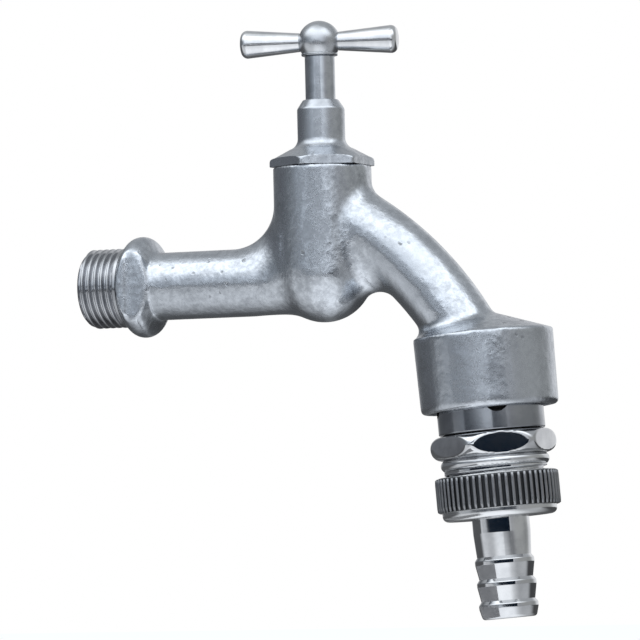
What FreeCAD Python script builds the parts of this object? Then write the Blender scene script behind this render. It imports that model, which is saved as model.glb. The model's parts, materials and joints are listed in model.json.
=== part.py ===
import FreeCAD, Part
import math
import os
import Sketcher

# Bib tap, all lengths in millimetres and angles in degrees.
# The origin is on the inlet axis at the shoulder behind the wall thread: +X runs out from the wall
# along the inlet, +Z is up, and the stem stands on its own vertical axis.
# Everything below the bell is measured down the outlet axis from the bell's top edge.

os.makedirs("parts", exist_ok=True)
doc = FreeCAD.newDocument("BibTap")
sheet = doc.addObject("Spreadsheet::Sheet", "Sizes")


class Size:
    # A length or angle that knows its value and the sheet expression it comes from.
    def __init__(self, value, text):
        self.value = value
        self.text = text

    def __add__(self, other):
        return join(self, other, "+", lambda a, b: a + b)

    def __radd__(self, other):
        return join(other, self, "+", lambda a, b: a + b)

    def __sub__(self, other):
        return join(self, other, "-", lambda a, b: a - b)

    def __rsub__(self, other):
        return join(other, self, "-", lambda a, b: a - b)

    def __mul__(self, other):
        return join(self, other, "*", lambda a, b: a * b)

    def __rmul__(self, other):
        return join(other, self, "*", lambda a, b: a * b)

    def __truediv__(self, other):
        return join(self, other, "/", lambda a, b: a / b)

    def __neg__(self):
        return Size(-self.value, f"(0 - {self.text})")


def as_size(item):
    return item if isinstance(item, Size) else Size(float(item), repr(float(item)))


def join(left, right, sign, work):
    a = as_size(left)
    b = as_size(right)
    return Size(work(a.value, b.value), f"({a.text} {sign} {b.text})")


def sine(angle):
    return Size(math.sin(math.radians(angle.value)), f"sin({angle.text})")


def cosine(angle):
    return Size(math.cos(math.radians(angle.value)), f"cos({angle.text})")


def root(item):
    return Size(math.sqrt(item.value), f"sqrt({item.text})")


def size(name, value, note):
    # One row of the sheet: the number, the name it is called by and what it measures.
    row = len(rows) + 1
    sheet.set(f"A{row}", str(value))
    sheet.setAlias(f"A{row}", name)
    sheet.set(f"B{row}", note)
    rows.append(name)
    return Size(float(sheet.getContents(f"A{row}")), f"Sizes.{name}")


rows = []

# Clearances
runGap = size("RunGap", 0.05, "radial gap of a turning or sliding fit")
threadGap = size("ThreadGap", 0.08, "radial gap between a male and a female thread's major cylinders")
restGap = size("RestGap", 0.05, "gap between faces that rest on each other but move apart")
looseGap = size("LooseGap", 0.1, "radial gap of a loose ring or dropped-in piece")
threadRelief = size("ThreadRelief", 0.5, "bore beyond the end of a screwed-in thread")

# Inlet
inletThreadOd = size("InletThreadOd", 20.955, "G1/2 major diameter")
inletThreadLength = size("InletThreadLength", 11.3, "wall thread up to its shoulder")
inletChamfer = size("InletChamfer", 1.3, "lead of the wall thread")
inletBore = size("InletBore", 12.5, "waterway through the inlet")
collarOd = size("CollarOd", 26.7, "crest of the collar behind the wall thread")
collarFlankOd = size("CollarFlankOd", 23.2, "collar where its straight flanks meet the rounded crest")
collarFlank = size("CollarFlank", 1.0, "length of the flank next to the wall thread")
collarCrest = size("CollarCrest", 6.2, "length of the rounded crest")
collarBackFlank = size("CollarBackFlank", 1.6, "length of the flank next to the pipe")
collarFlats = size("CollarFlats", 19.4, "width across the two spanner flats")
collarLand = size("CollarLand", 2.5, "thread blank that the flats leave uncut beside the thread")
landRise = size("LandRise", 0.1, "what the flats leave of the collar over that blank")
pipeOd = size("PipeOd", 17.8, "inlet pipe")

# Barrel
stemX = size("StemX", 55.2, "stem axis from the shoulder")
barrelOd = size("BarrelOd", 25.6, "barrel that holds the valve")
barrelTop = size("BarrelTop", 29.4, "barrel's top face above the inlet axis")
bowlDepth = size("BowlDepth", 11.2, "bottom of the bowl below the inlet axis")
bowlWall = size("BowlWall", 3.4, "wall under the bowl")
bowlBore = size("BowlBore", 17.2, "chamber under the seat")
chamberBore = size("ChamberBore", 19.5, "chamber over the seat")
chamberFloor = size("ChamberFloor", 7.0, "floor of the upper chamber above the inlet axis")
partition = size("Partition", 2.5, "thickness of the seat's partition")
seatBore = size("SeatBore", 10.0, "hole through the seat")
seatLipOd = size("SeatLipOd", 14.0, "raised lip of the seat")
seatLipHeight = size("SeatLipHeight", 1.2, "height of the seat's lip")
pipeFillet = size("PipeFillet", 12.5, "cast blend from inlet pipe to barrel")
spoutFillet = size("SpoutFillet", 6.4, "cast blend from barrel to spout")
bellFillet = size("BellFillet", 3.0, "cast blend from spout to bell")

# Spout and bell
spoutOd = size("SpoutOd", 18.2, "spout")
spoutBore = size("SpoutBore", 12.0, "waterway through the spout")
spoutRoot = size("SpoutRoot", 19.1, "spout's centre line on the stem axis")
spoutBend = size("SpoutBend", 85.2, "radius of the spout's centre line")
outletReach = size("OutletReach", 43.2, "bell's top centre from the stem axis")
outletDrop = size("OutletDrop", 15.8, "bell's top centre below the inlet axis")
outletLean = size("OutletLean", 4.3, "lean of the outlet axis away from the wall")
spoutEndDepth = size("SpoutEndDepth", 3.0, "end of the spout's centre line below the bell's top")
spoutEndOffset = size("SpoutEndOffset", 3.25, "end of the spout's centre line off the outlet axis")
bellOd = size("BellOd", 36.0, "bell at its top edge")
bellRimOd = size("BellRimOd", 35.4, "bell at its lower edge")
bellLength = size("BellLength", 19.5, "bell's side")
bellRound = size("BellRound", 1.2, "rounding of the bell's lower edge")
crownRise = size("CrownRise", 5.9, "rise of the bell's conical top")
crownOd = size("CrownOd", 3.0, "small end of the bell's conical top")
recessOd = size("RecessOd", 30.4, "air recess inside the bell's mouth")
recessTop = size("RecessTop", 11.0, "roof of the air recess")
bellThreadOd = size("BellThreadOd", 24.0, "thread that holds the vacuum breaker")
bellThreadTop = size("BellThreadTop", 4.2, "end of the breaker's thread in the bell")
flowBore = size("FlowBore", 20.4, "flow space over the breaker")
flowTop = size("FlowTop", 1.0, "roof of the flow space")

# Bonnet
bonnetThreadOd = size("BonnetThreadOd", 20.955, "bonnet's thread in the barrel")
bonnetThreadLength = size("BonnetThreadLength", 8.5, "length of the bonnet's thread")
bonnetHex = size("BonnetHex", 24.0, "bonnet across its flats")
bonnetHexTurn = size("BonnetHexTurn", 27.0, "direction of the bonnet's front flat")
flangeEdge = size("FlangeEdge", 1.1, "upright edge of the bonnet's flange")
flangeEdgeRound = size("FlangeEdgeRound", 1.3, "rounding over the flange's corners")
coneFootOd = size("ConeFootOd", 25.2, "foot of the bonnet's cone")
coneFoot = size("ConeFoot", 2.2, "foot of the cone above the flange's face")
coneTopOd = size("ConeTopOd", 16.6, "top of the bonnet's cone")
coneTop = size("ConeTop", 4.5, "top of the cone above the flange's face")
neckRound = size("NeckRound", 3.0, "blend from cone to neck")
neckOd = size("NeckOd", 12.4, "bonnet's neck")
neckFoot = size("NeckFoot", 7.2, "start of the straight neck above the flange's face")
neckShoulder = size("NeckShoulder", 15.0, "end of the straight neck above the flange's face")
neckTopOd = size("NeckTopOd", 9.2, "top face of the neck")
bonnetHeight = size("BonnetHeight", 17.4, "top of the neck above the flange's face")
spindleThreadRoom = size("SpindleThreadRoom", 5.2, "spindle thread's bore above the flange's face")
gasketOd = size("GasketOd", 23.2, "bonnet gasket")
gasketThickness = size("GasketThickness", 1.0, "bonnet gasket")

# Spindle and jumper
spindleOd = size("SpindleOd", 7.8, "spindle's shank")
spindleThreadOd = size("SpindleThreadOd", 11.8, "spindle's thread")
spindleThreadLength = size("SpindleThreadLength", 7.9, "spindle's thread")
spindleFootOd = size("SpindleFootOd", 9.0, "spindle below its thread")
spindleFoot = size("SpindleFoot", 5.5, "length below the spindle's thread")
spindleSocket = size("SpindleSocket", 7.0, "depth of the hole for the jumper's stem")
squareSide = size("SquareSide", 5.6, "square that carries the handle")
squareLength = size("SquareLength", 6.0, "length of the square")
ringGroove = size("RingGroove", 1.5, "width of an O-ring groove")
ringRootOd = size("RingRootOd", 5.6, "bottom of an O-ring groove")
lowerRing = size("LowerRing", 6.6, "lower spindle ring above the flange's face")
ringPitch = size("RingPitch", 3.4, "distance between the spindle's rings")
washerOd = size("WasherOd", 13.6, "seat washer")
washerThickness = size("WasherThickness", 3.0, "seat washer")
jumperOd = size("JumperOd", 13.8, "jumper's disc")
jumperDisc = size("JumperDisc", 2.2, "thickness of the jumper's disc")
jumperBossOd = size("JumperBossOd", 8.4, "boss on the jumper's disc")
jumperBoss = size("JumperBoss", 2.5, "height of the jumper's boss")
jumperStemOd = size("JumperStemOd", 5.0, "stem of the jumper")
jumperStem = size("JumperStem", 6.0, "length of the jumper's stem")
screwOd = size("ScrewOd", 2.6, "washer screw's thread")
screwDepth = size("ScrewDepth", 3.2, "washer screw's reach into the jumper")
screwHeadOd = size("ScrewHeadOd", 5.4, "washer screw's head")
screwHead = size("ScrewHead", 1.4, "height of the washer screw's head")
screwSlot = size("ScrewSlot", 0.7, "width and depth of the slot in the washer screw")

# Handle
handleHeight = size("HandleHeight", 28.9, "hub's underside above the barrel's top")
handleTurn = size("HandleTurn", 12.0, "handle's direction at rest, turned from the inlet's line")
hubOd = size("HubOd", 11.0, "ball of the hub")
hubCentre = size("HubCentre", 3.7, "ball's centre above the hub's underside")
hubFootOd = size("HubFootOd", 9.5, "ring under the hub")
hubFoot = size("HubFoot", 0.7, "height of the ring under the hub")
armSeat = size("ArmSeat", 4.95, "spot face for an arm, from the stem axis")
armRootOd = size("ArmRootOd", 4.9, "arm at the hub")
armTipOd = size("ArmTipOd", 7.3, "arm at its thick end")
armLength = size("ArmLength", 20.9, "end of an arm from the stem axis")
armCorner = size("ArmCorner", 1.7, "length of the arm's rounded corner")
armCornerDrop = size("ArmCornerDrop", 1.35, "how far the corner comes in towards the arm's axis")
armCornerRound = size("ArmCornerRound", 1.7, "radius of the arm's corner")
armDome = size("ArmDome", 0.3, "height of the arm's domed end")
armDomeRound = size("ArmDomeRound", 8.5, "radius of the arm's domed end")
spigotOd = size("SpigotOd", 3.2, "threaded spigot of an arm")
spigotLength = size("SpigotLength", 1.5, "spigot inside the hub")
grubOd = size("GrubOd", 3.0, "grub screw")
grubLength = size("GrubLength", 1.7, "grub screw")
grubHeight = size("GrubHeight", 2.4, "grub screw above the hub's underside")
grubKey = size("GrubKey", 1.5, "hexagon key of the grub screw")

# Vacuum breaker
breakerOd = size("BreakerOd", 27.4, "breaker's cylinder under the bell")
breakerEnd = size("BreakerEnd", 25.5, "breaker's lower end")
breakerSealThickness = size("BreakerSealThickness", 1.2, "gasket over the breaker")
breakerSealBore = size("BreakerSealBore", 18.0, "hole in the gasket over the breaker")
cageSeatOd = size("CageSeatOd", 19.2, "pocket for the check valve's cage")
cageSeatDepth = size("CageSeatDepth", 2.6, "depth of the cage's pocket")
cageNeck = size("CageNeck", 17.6, "hole that the cage hangs through")
cageLedge = size("CageLedge", 1.6, "thickness of the ledge under the cage's flange")
airChamberOd = size("AirChamberOd", 21.6, "air chamber inside the breaker")
airHoleOd = size("AirHoleOd", 6.4, "air holes through the breaker")
airHoleHeight = size("AirHoleHeight", 2.0, "air holes' centre above the bell's rim")
airHoleCount = size("AirHoleCount", 4, "air holes round the breaker")
outletTurn = size("OutletTurn", 27.0, "direction of the front air hole and the front flat")
adapterThreadOd = size("AdapterThreadOd", 23.0, "adapter's thread in the breaker")
adapterThreadLength = size("AdapterThreadLength", 4.2, "adapter's upper thread")
ringSeatDepth = size("RingSeatDepth", 1.3, "counterbore for the adapter's O-ring")
ringSeatOd = size("RingSeatOd", 25.4, "counterbore for the adapter's O-ring")
cageWall = size("CageWall", 1.0, "wall of the cage")
cagePlate = size("CagePlate", 1.6, "thickness of the cage's seat plate")
cageEnd = size("CageEnd", 16.6, "lower end of the cage")
cageSpider = size("CageSpider", 1.4, "thickness of the cage's spider")
cageHoleOd = size("CageHoleOd", 4.2, "water holes in the spider")
cageHolePcd = size("CageHolePcd", 9.6, "circle of the water holes")
cageHoleCount = size("CageHoleCount", 4, "water holes in the spider")
checkSeatOd = size("CheckSeatOd", 9.2, "hole that the check valve closes")
poppetOd = size("PoppetOd", 12.6, "head of the poppet")
poppetHead = size("PoppetHead", 1.4, "thickness of the poppet's head")
poppetNoseOd = size("PoppetNoseOd", 7.2, "nose that holds the poppet's seal")
poppetNose = size("PoppetNose", 0.8, "nose above the seal")
poppetSealOd = size("PoppetSealOd", 12.2, "seal on the poppet")
poppetSealThickness = size("PoppetSealThickness", 1.15, "seal on the poppet")
poppetStemOd = size("PoppetStemOd", 3.0, "stem of the poppet")
poppetStemEnd = size("PoppetStemEnd", 18.2, "lower end of the poppet's stem")
springOd = size("SpringOd", 5.7, "check valve's spring over its wire")
springWire = size("SpringWire", 0.5, "spring wire")
springTurns = size("SpringTurns", 3.5, "turns of the spring")
lipTop = size("LipTop", 10.0, "top of the air diaphragm")
lipBead = size("LipBead", 1.8, "height of the diaphragm's bead")
lipBeadWall = size("LipBeadWall", 1.3, "thickness of the diaphragm's bead")
lipWall = size("LipWall", 0.6, "thickness of the diaphragm's lip")
lipNeck = size("LipNeck", 0.4, "height over which the bead narrows to the lip")
lipEnd = size("LipEnd", 20.4, "lower edge of the diaphragm's lip")
lipAirGap = size("LipAirGap", 0.45, "gap from the lip's edge to the air chamber's wall")

# Hose union
hexRingOd = size("HexRingOd", 32.6, "adapter's rounded ring")
hexRingHeight = size("HexRingHeight", 6.1, "adapter's rounded ring")
hexRingRise = size("HexRingRise", 2.8, "how far the ring stands out over its two ends")
hexFlats = size("HexFlats", 29.0, "adapter across its flats")
stepOd = size("StepOd", 27.9, "rounded step under the hexagon")
stepHeight = size("StepHeight", 2.9, "rounded step under the hexagon")
stepRise = size("StepRise", 0.9, "how far the step stands out over its two ends")
unionThreadOd = size("UnionThreadOd", 26.441, "G3/4 major diameter")
unionThreadLength = size("UnionThreadLength", 5.6, "G3/4 thread of the adapter")
unionChamfer = size("UnionChamfer", 0.6, "lead of the adapter's thread")
adapterBore = size("AdapterBore", 16.0, "waterway through the adapter")
tailWasherThickness = size("TailWasherThickness", 2.2, "rubber washer over the hose tail")
tailWasherBore = size("TailWasherBore", 13.0, "hole in the tail washer")
tailCollarOd = size("TailCollarOd", 24.6, "hose tail's collar")
tailCollar = size("TailCollar", 2.1, "thickness of the hose tail's collar")
nutOd = size("NutOd", 31.8, "union nut over its flutes")
nutTopOd = size("NutTopOd", 29.8, "nut's top face")
nutTopChamfer = size("NutTopChamfer", 1.0, "height of the nut's top chamfer")
nutCover = size("NutCover", 4.1, "thread that the nut covers")
nutFluted = size("NutFluted", 9.0, "height of the fluted band with its chamfer")
nutRimOd = size("NutRimOd", 29.4, "smooth rim under the flutes")
nutRimRound = size("NutRimRound", 1.5, "rounding of the smooth rim")
nutFloor = size("NutFloor", 2.8, "thickness of the nut's floor")
nutHoleGap = size("NutHoleGap", 0.4, "radial gap between the nut's floor and the hose tail")
fluteCount = size("FluteCount", 58, "flutes round the nut")
fluteRadius = size("FluteRadius", 0.62, "radius of a flute")
fluteSink = size("FluteSink", 0.12, "flute's centre outside the nut's surface")
tailOd = size("TailOd", 14.7, "hose tail under its collar")
tailWaistOd = size("TailWaistOd", 13.9, "hose tail above the first barb")
tailBore = size("TailBore", 10.0, "waterway through the hose tail")
barbOd = size("BarbOd", 15.2, "hose tail over its barbs")
barbRootOd = size("BarbRootOd", 13.8, "hose tail between its barbs")
barbStart = size("BarbStart", 57.1, "first barb's edge")
barbPitch = size("BarbPitch", 5.65, "distance between barbs")
barbEdge = size("BarbEdge", 0.9, "bevel over a barb's edge")
barbLand = size("BarbLand", 1.0, "straight land behind a barb's edge")
tailEnd = size("TailEnd", 73.05, "lower end of the hose tail")
tailEndRound = size("TailEndRound", 0.9, "rounding of the hose tail's end")
barbCount = 3

doc.recompute()

# Places shared by several pieces
seatTop = chamberFloor + seatLipHeight
washerBottom = seatTop + restGap
washerTop = washerBottom + washerThickness
discTop = washerTop + jumperDisc
bossTop = discTop + jumperBoss
spindleBottom = bossTop + restGap
hubBottom = barrelTop + handleHeight
hubMiddle = hubBottom + hubCentre
outletX = stemX + outletReach
leanSine = sine(outletLean)
leanCosine = cosine(outletLean)
breakerTop = bellThreadTop + breakerSealThickness
cageFlangeEnd = breakerTop + cageSeatDepth
ledgeEnd = cageFlangeEnd + cageLedge
airHoleLevel = bellLength - airHoleHeight
adapterTop = breakerEnd - adapterThreadLength
hexEnd = breakerEnd + hexRingHeight
stepEnd = hexEnd + stepHeight
threadEnd = stepEnd + unionThreadLength
tailWasherTop = threadEnd + restGap
tailTop = tailWasherTop + tailWasherThickness
tailCollarEnd = tailTop + tailCollar
nutTop = threadEnd - nutCover
nutFloorTop = tailCollarEnd + restGap
nutEnd = nutFloorTop + nutFloor
poppetSealTop = breakerTop + cagePlate + restGap
poppetTop = poppetSealTop + poppetSealThickness
poppetHeadEnd = poppetTop + poppetHead
spiderTop = cageEnd - cageSpider


def plane_of(body, role):
    return next(item for item in body.Origin.OriginFeatures if item.Role == role)


def new_body(label, home):
    # home: "inlet", "stem", "handle" or "outlet", the axis that the piece belongs to.
    body = doc.addObject("PartDesign::Body", label)
    body.Label = label
    if home in ("stem", "handle"):
        body.setExpression("Placement.Base.x", stemX.text)
    if home == "handle":
        body.Placement.Rotation = FreeCAD.Rotation(FreeCAD.Vector(0, 0, 1), handleTurn.value)
        body.setExpression("Placement.Rotation.Angle", handleTurn.text)
    if home == "outlet":
        turned = FreeCAD.Rotation(FreeCAD.Vector(0, 1, 0), 180 - outletLean.value)
        body.Placement = FreeCAD.Placement(FreeCAD.Vector(outletX.value, 0, -outletDrop.value), turned)
        body.setExpression("Placement.Base.x", outletX.text)
        body.setExpression("Placement.Base.z", (-outletDrop).text)
        body.setExpression("Placement.Rotation.Angle", (180 - outletLean).text)
    pieces.append(body)
    return body


pieces = []
seamReach = 0.005


def new_sketch(body, role, name, shift=None, turn=None):
    # shift: (x, y, z) in the plane's own directions; turn: angle about the plane's normal.
    sketch = body.newObject("Sketcher::SketchObject", name)
    sketch.AttachmentSupport = [(plane_of(body, role), "")]
    sketch.MapMode = "FlatFace"
    if turn is not None:
        spin = FreeCAD.Rotation(FreeCAD.Vector(0, 0, 1), turn.value)
        sketch.AttachmentOffset = FreeCAD.Placement(FreeCAD.Vector(), spin)
        sketch.setExpression("AttachmentOffset.Rotation.Angle", turn.text)
    for letter, item in zip("xyz", shift or ()):
        if isinstance(item, Size):
            sketch.setExpression(f"AttachmentOffset.Base.{letter}", item.text)
    return sketch


def bind(sketch, index, item):
    sketch.setExpression(f"Constraints[{index}]", item.text)


def arc_between(start, end, radius, side):
    # The short arc from start to end with its centre on the given side of the way from one to the other.
    middle = (start + end) * 0.5
    way = end - start
    rise = math.sqrt(max(radius * radius - way.Length ** 2 / 4, 0.0))
    across = FreeCAD.Vector(-way.y, way.x, 0).normalize() * (rise if side == "left" else -rise)
    centre = middle + across
    first = math.atan2(start.y - centre.y, start.x - centre.x)
    last = math.atan2(end.y - centre.y, end.x - centre.x)
    circle = Part.Circle(centre, FreeCAD.Vector(0, 0, 1), radius)
    if side == "left":
        return Part.ArcOfCircle(circle, first, last)
    return Part.ArcOfCircle(circle, last, first)


def draw(sketch, corners, closed=True):
    # corners: (x, y) for a straight side up to that point, (x, y, radius, side) for an arc up to it.
    points = [FreeCAD.Vector(as_size(c[0]).value, as_size(c[1]).value, 0) for c in corners]
    count = len(corners)
    ends = []
    for index in range(count if closed else count - 1):
        target = (index + 1) % count
        corner = corners[target]
        if len(corner) == 4:
            shape = arc_between(points[index], points[target], corner[2].value, corner[3])
            edge = sketch.addGeometry(shape)
            ends.append((edge, 1, 2) if corner[3] == "left" else (edge, 2, 1))
            bind(sketch, sketch.addConstraint(Sketcher.Constraint("Radius", edge, corner[2].value)), corner[2])
        else:
            edge = sketch.addGeometry(Part.LineSegment(points[index], points[target]))
            ends.append((edge, 1, 2))
    for index in range(len(ends) if closed else len(ends) - 1):
        edge, start, end = ends[index]
        after, afterStart, afterEnd = ends[(index + 1) % len(ends)]
        sketch.addConstraint(Sketcher.Constraint("Coincident", edge, end, after, afterStart))
    for index, corner in enumerate(corners):
        edge, start, end = ends[index] if index < len(ends) else ends[-1]
        spot = start if index < len(ends) else end
        place(sketch, edge, spot, corner[0], corner[1])


def place(sketch, edge, spot, x, y):
    # A bare zero puts the point on the sketch's axis, a size is a dimension from the sketch's origin.
    for item, kind, axis in ((x, "DistanceX", -2), (y, "DistanceY", -1)):
        if isinstance(item, Size):
            rule = Sketcher.Constraint(kind, -1, 1, edge, spot, item.value)
            bind(sketch, sketch.addConstraint(rule), item)
        else:
            sketch.addConstraint(Sketcher.Constraint("PointOnObject", edge, spot, axis))


def draw_circle(sketch, x, y, radius):
    centre = FreeCAD.Vector(as_size(x).value, as_size(y).value, 0)
    edge = sketch.addGeometry(Part.Circle(centre, FreeCAD.Vector(0, 0, 1), radius.value))
    bind(sketch, sketch.addConstraint(Sketcher.Constraint("Radius", edge, radius.value)), radius)
    place(sketch, edge, 3, x, y)


def volume_of(feature):
    doc.recompute()
    return feature.Shape.Volume


def turn_solid(body, name, corners, axis="V_Axis", role="XZ_Plane", shift=None, turn=None):
    sketch = new_sketch(body, role, name + "Outline", shift, turn)
    draw(sketch, corners)
    feature = body.newObject("PartDesign::Revolution", name)
    feature.Profile = sketch
    feature.ReferenceAxis = (sketch, [axis])
    feature.Angle = 360
    doc.recompute()
    return feature


def turn_cut(body, name, corners, axis="V_Axis", role="XZ_Plane", shift=None, turn=None):
    before = volume_of(body)
    sketch = new_sketch(body, role, name + "Outline", shift, turn)
    draw(sketch, corners)
    feature = body.newObject("PartDesign::Groove", name)
    feature.Profile = sketch
    feature.ReferenceAxis = (sketch, [axis])
    feature.Angle = 360
    if volume_of(body) >= before:
        raise RuntimeError(name + " cuts nothing")
    return feature


def sink(body, name, sketch, depth=None, reverse=False, both=False):
    # Cut a sketch into the body: to a depth, or through all on one side or on both.
    before = volume_of(body)
    feature = body.newObject("PartDesign::Pocket", name)
    feature.Profile = sketch
    feature.Reversed = reverse
    if both:
        feature.SideType = "Symmetric"
    if depth is None:
        feature.Type = "ThroughAll"
    else:
        feature.Type = "Length"
        feature.setExpression("Length", depth.text)
    if volume_of(body) >= before:
        raise RuntimeError(name + " cuts nothing")
    return feature


def repeat(body, name, feature, axis, count):
    # Copies of one cut, spaced evenly round an axis of the body's own origin.
    pattern = body.newObject("PartDesign::PolarPattern", name)
    pattern.Originals = [feature]
    pattern.Axis = (plane_of(body, axis), [""])
    pattern.Angle = 360
    pattern.setExpression("Occurrences", count.text)
    body.Tip = pattern
    doc.recompute()
    return pattern


def in_both(edge, first, second):
    # True if the edge's ends and middle lie in or on both solids.
    start, end = edge.ParameterRange
    spots = [edge.valueAt(start + (end - start) * share) for share in (0.02, 0.5, 0.98)]
    return all(solid.isInside(spot, seamReach, True) for spot in spots for solid in (first, second))


def blend(body, name, before, feature, radius):
    # Round the seam where a feature meets the solid that was there before it.
    doc.recompute()
    added = feature.AddSubShape.copy()
    added.Placement = feature.Placement.multiply(added.Placement)
    seam = []
    for index, edge in enumerate(feature.Shape.Edges, 1):
        if in_both(edge, before.Shape, added):
            seam.append(f"Edge{index}")
    fillet = body.newObject("PartDesign::Fillet", name)
    fillet.Base = (feature, seam)
    fillet.setExpression("Radius", radius.text)
    doc.recompute()
    if fillet.Shape.isNull():
        raise RuntimeError(f"{name} fails on {len(seam)} edges")
    return fillet


def pipe_along(body, name, way, radius, kind):
    # A round pipe or bore along a sketched way, with its circle square to the way's start.
    section = body.newObject("Sketcher::SketchObject", name + "Section")
    section.AttachmentSupport = [(way, "Edge1")]
    section.MapMode = "NormalToEdge"
    section.MapPathParameter = 1.0
    draw_circle(section, 0, 0, radius)
    feature = body.newObject(kind, name)
    feature.Profile = section
    feature.Spine = (way, ["Edge1"])
    doc.recompute()
    return feature


def draw_hexagon(sketch, flats):
    # A hexagon about the sketch's origin, with one flat square to the sketch's own -Y.
    side = flats / root(as_size(3))
    half = flats / 2
    draw(sketch, [
        (side / 2, -half),
        (side, 0),
        (side / 2, half),
        (-(side / 2), half),
        (-side, 0),
        (-(side / 2), -half),
    ])


def hex_ring_cut(body, name, flats, level, height, turn):
    # Spanner flats: everything outside a hexagon goes, over one stretch of the body's axis.
    sketch = new_sketch(body, "XY_Plane", name + "Outline", (0, 0, level), turn)
    draw_hexagon(sketch, flats)
    draw_circle(sketch, 0, 0, flats)
    return sink(body, name, sketch, height, reverse=True)


def bulge_radius(rise, width):
    # Radius of an arc that rises this much over a chord of this width.
    return (rise * rise + width * width / 4) / (rise * 2)


def make_valve_body():
    body = new_body("valve_body", "inlet")
    pipeR = pipeOd / 2
    threadR = inletThreadOd / 2
    flankR = collarFlankOd / 2
    crestRound = bulge_radius(collarOd / 2 - flankR, collarCrest)
    collarWidth = collarFlank + collarCrest + collarBackFlank
    inlet = turn_solid(body, "Inlet", [
        (-inletThreadLength, 0),
        (stemX, 0),
        (stemX, pipeR),
        (collarWidth, pipeR),
        (collarFlank + collarCrest, flankR),
        (collarFlank, flankR, crestRound, "left"),
        (0, threadR),
        (inletChamfer - inletThreadLength, threadR),
        (-inletThreadLength, threadR - inletChamfer),
    ], axis="H_Axis")
    barrelR = barrelOd / 2
    barrel = turn_solid(body, "Barrel", [
        (0, -bowlDepth),
        (barrelR, barrelR - bowlDepth, barrelR, "left"),
        (barrelR, barrelTop),
        (0, barrelTop),
    ], shift=(stemX, 0, 0))
    cast = blend(body, "PipeBlend", inlet, barrel, pipeFillet)

    # The spout's centre line: one arc from the stem axis to just inside the bell.
    endX = outletX + leanSine * spoutEndDepth - leanCosine * spoutEndOffset
    endZ = -outletDrop - leanCosine * spoutEndDepth - leanSine * spoutEndOffset
    way = new_sketch(body, "XZ_Plane", "SpoutWay")
    draw(way, [(stemX, spoutRoot), (endX, endZ, spoutBend, "right")], closed=False)
    doc.recompute()
    spout = pipe_along(body, "Spout", way, spoutOd / 2, "PartDesign::AdditivePipe")
    cast = blend(body, "SpoutBlend", cast, spout, spoutFillet)

    bellPlace = {"shift": (outletX, -outletDrop, 0), "turn": 180 + outletLean}
    rimR = bellRimOd / 2
    bell = turn_solid(body, "Bell", [
        (0, -crownRise),
        (crownOd / 2, -crownRise),
        (bellOd / 2, 0),
        (rimR, bellLength - bellRound),
        (rimR - bellRound, bellLength, bellRound, "left"),
        (0, bellLength),
    ], **bellPlace)
    blend(body, "BellBlend", cast, bell, bellFillet)

    # Spanner flats on the collar, front and back; they stop short of the thread's blank
    flats = new_sketch(body, "XY_Plane", "CollarFlatsOutline")
    for side in (1, -1):
        draw(flats, [
            (0, (threadR + landRise) * side),
            (collarLand, (threadR + landRise) * side),
            (collarLand, collarFlats * side / 2),
            (collarWidth, collarFlats * side / 2),
            (collarWidth, collarOd * side / 2 + side),
            (0, collarOd * side / 2 + side),
        ])
    sink(body, "CollarFlats", flats, collarOd * 2, both=True)

    # Waterway: inlet bore, chamber under the seat, chamber over it, spout and bell
    turn_cut(body, "InletBore", [
        (-inletThreadLength, 0),
        (stemX, 0),
        (stemX, inletBore / 2),
        (-inletThreadLength, inletBore / 2),
    ], axis="H_Axis")
    bowlR = bowlBore / 2
    turn_cut(body, "Bowl", [
        (0, bowlWall - bowlDepth),
        (bowlR, bowlWall - bowlDepth + bowlR, bowlR, "left"),
        (bowlR, chamberFloor - partition),
        (seatBore / 2, chamberFloor - partition),
        (seatBore / 2, seatTop),
        (seatLipOd / 2, seatTop),
        (seatLipOd / 2, chamberFloor),
        (chamberBore / 2, chamberFloor),
        (chamberBore / 2, barrelTop - bonnetThreadLength - threadRelief),
        (bonnetThreadOd / 2 + threadGap, barrelTop - bonnetThreadLength - threadRelief),
        (bonnetThreadOd / 2 + threadGap, barrelTop - gasketThickness),
        (gasketOd / 2 + looseGap, barrelTop - gasketThickness),
        (gasketOd / 2 + looseGap, barrelTop),
        (0, barrelTop),
    ], shift=(stemX, 0, 0))
    pipe_along(body, "SpoutBore", way, spoutBore / 2, "PartDesign::SubtractivePipe")
    turn_cut(body, "BellHollow", [
        (0, flowTop),
        (flowBore / 2, flowTop),
        (flowBore / 2, bellThreadTop),
        (bellThreadOd / 2 + threadGap, bellThreadTop),
        (bellThreadOd / 2 + threadGap, recessTop),
        (recessOd / 2, recessTop),
        (recessOd / 2, bellLength),
        (0, bellLength),
    ], **bellPlace)
    return body


def make_bonnet():
    body = new_body("bonnet", "stem")
    threadR = bonnetThreadOd / 2
    screwR = spindleThreadOd / 2 + runGap
    shankR = spindleOd / 2 + runGap
    flangeR = bonnetHex / root(as_size(3))
    turn_solid(body, "Turned", [
        (screwR, barrelTop - bonnetThreadLength),
        (threadR, barrelTop - bonnetThreadLength),
        (threadR, barrelTop),
        (flangeR, barrelTop),
        (flangeR, barrelTop + flangeEdge),
        (coneFootOd / 2, barrelTop + coneFoot, flangeEdgeRound, "left"),
        (coneTopOd / 2, barrelTop + coneTop),
        (neckOd / 2, barrelTop + neckFoot, neckRound, "right"),
        (neckOd / 2, barrelTop + neckShoulder),
        (neckTopOd / 2, barrelTop + bonnetHeight),
        (shankR, barrelTop + bonnetHeight),
        (shankR, barrelTop + spindleThreadRoom),
        (screwR, barrelTop + spindleThreadRoom),
    ])
    hex_ring_cut(body, "SpannerFlats", bonnetHex, barrelTop, coneTop, bonnetHexTurn)
    return body


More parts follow.
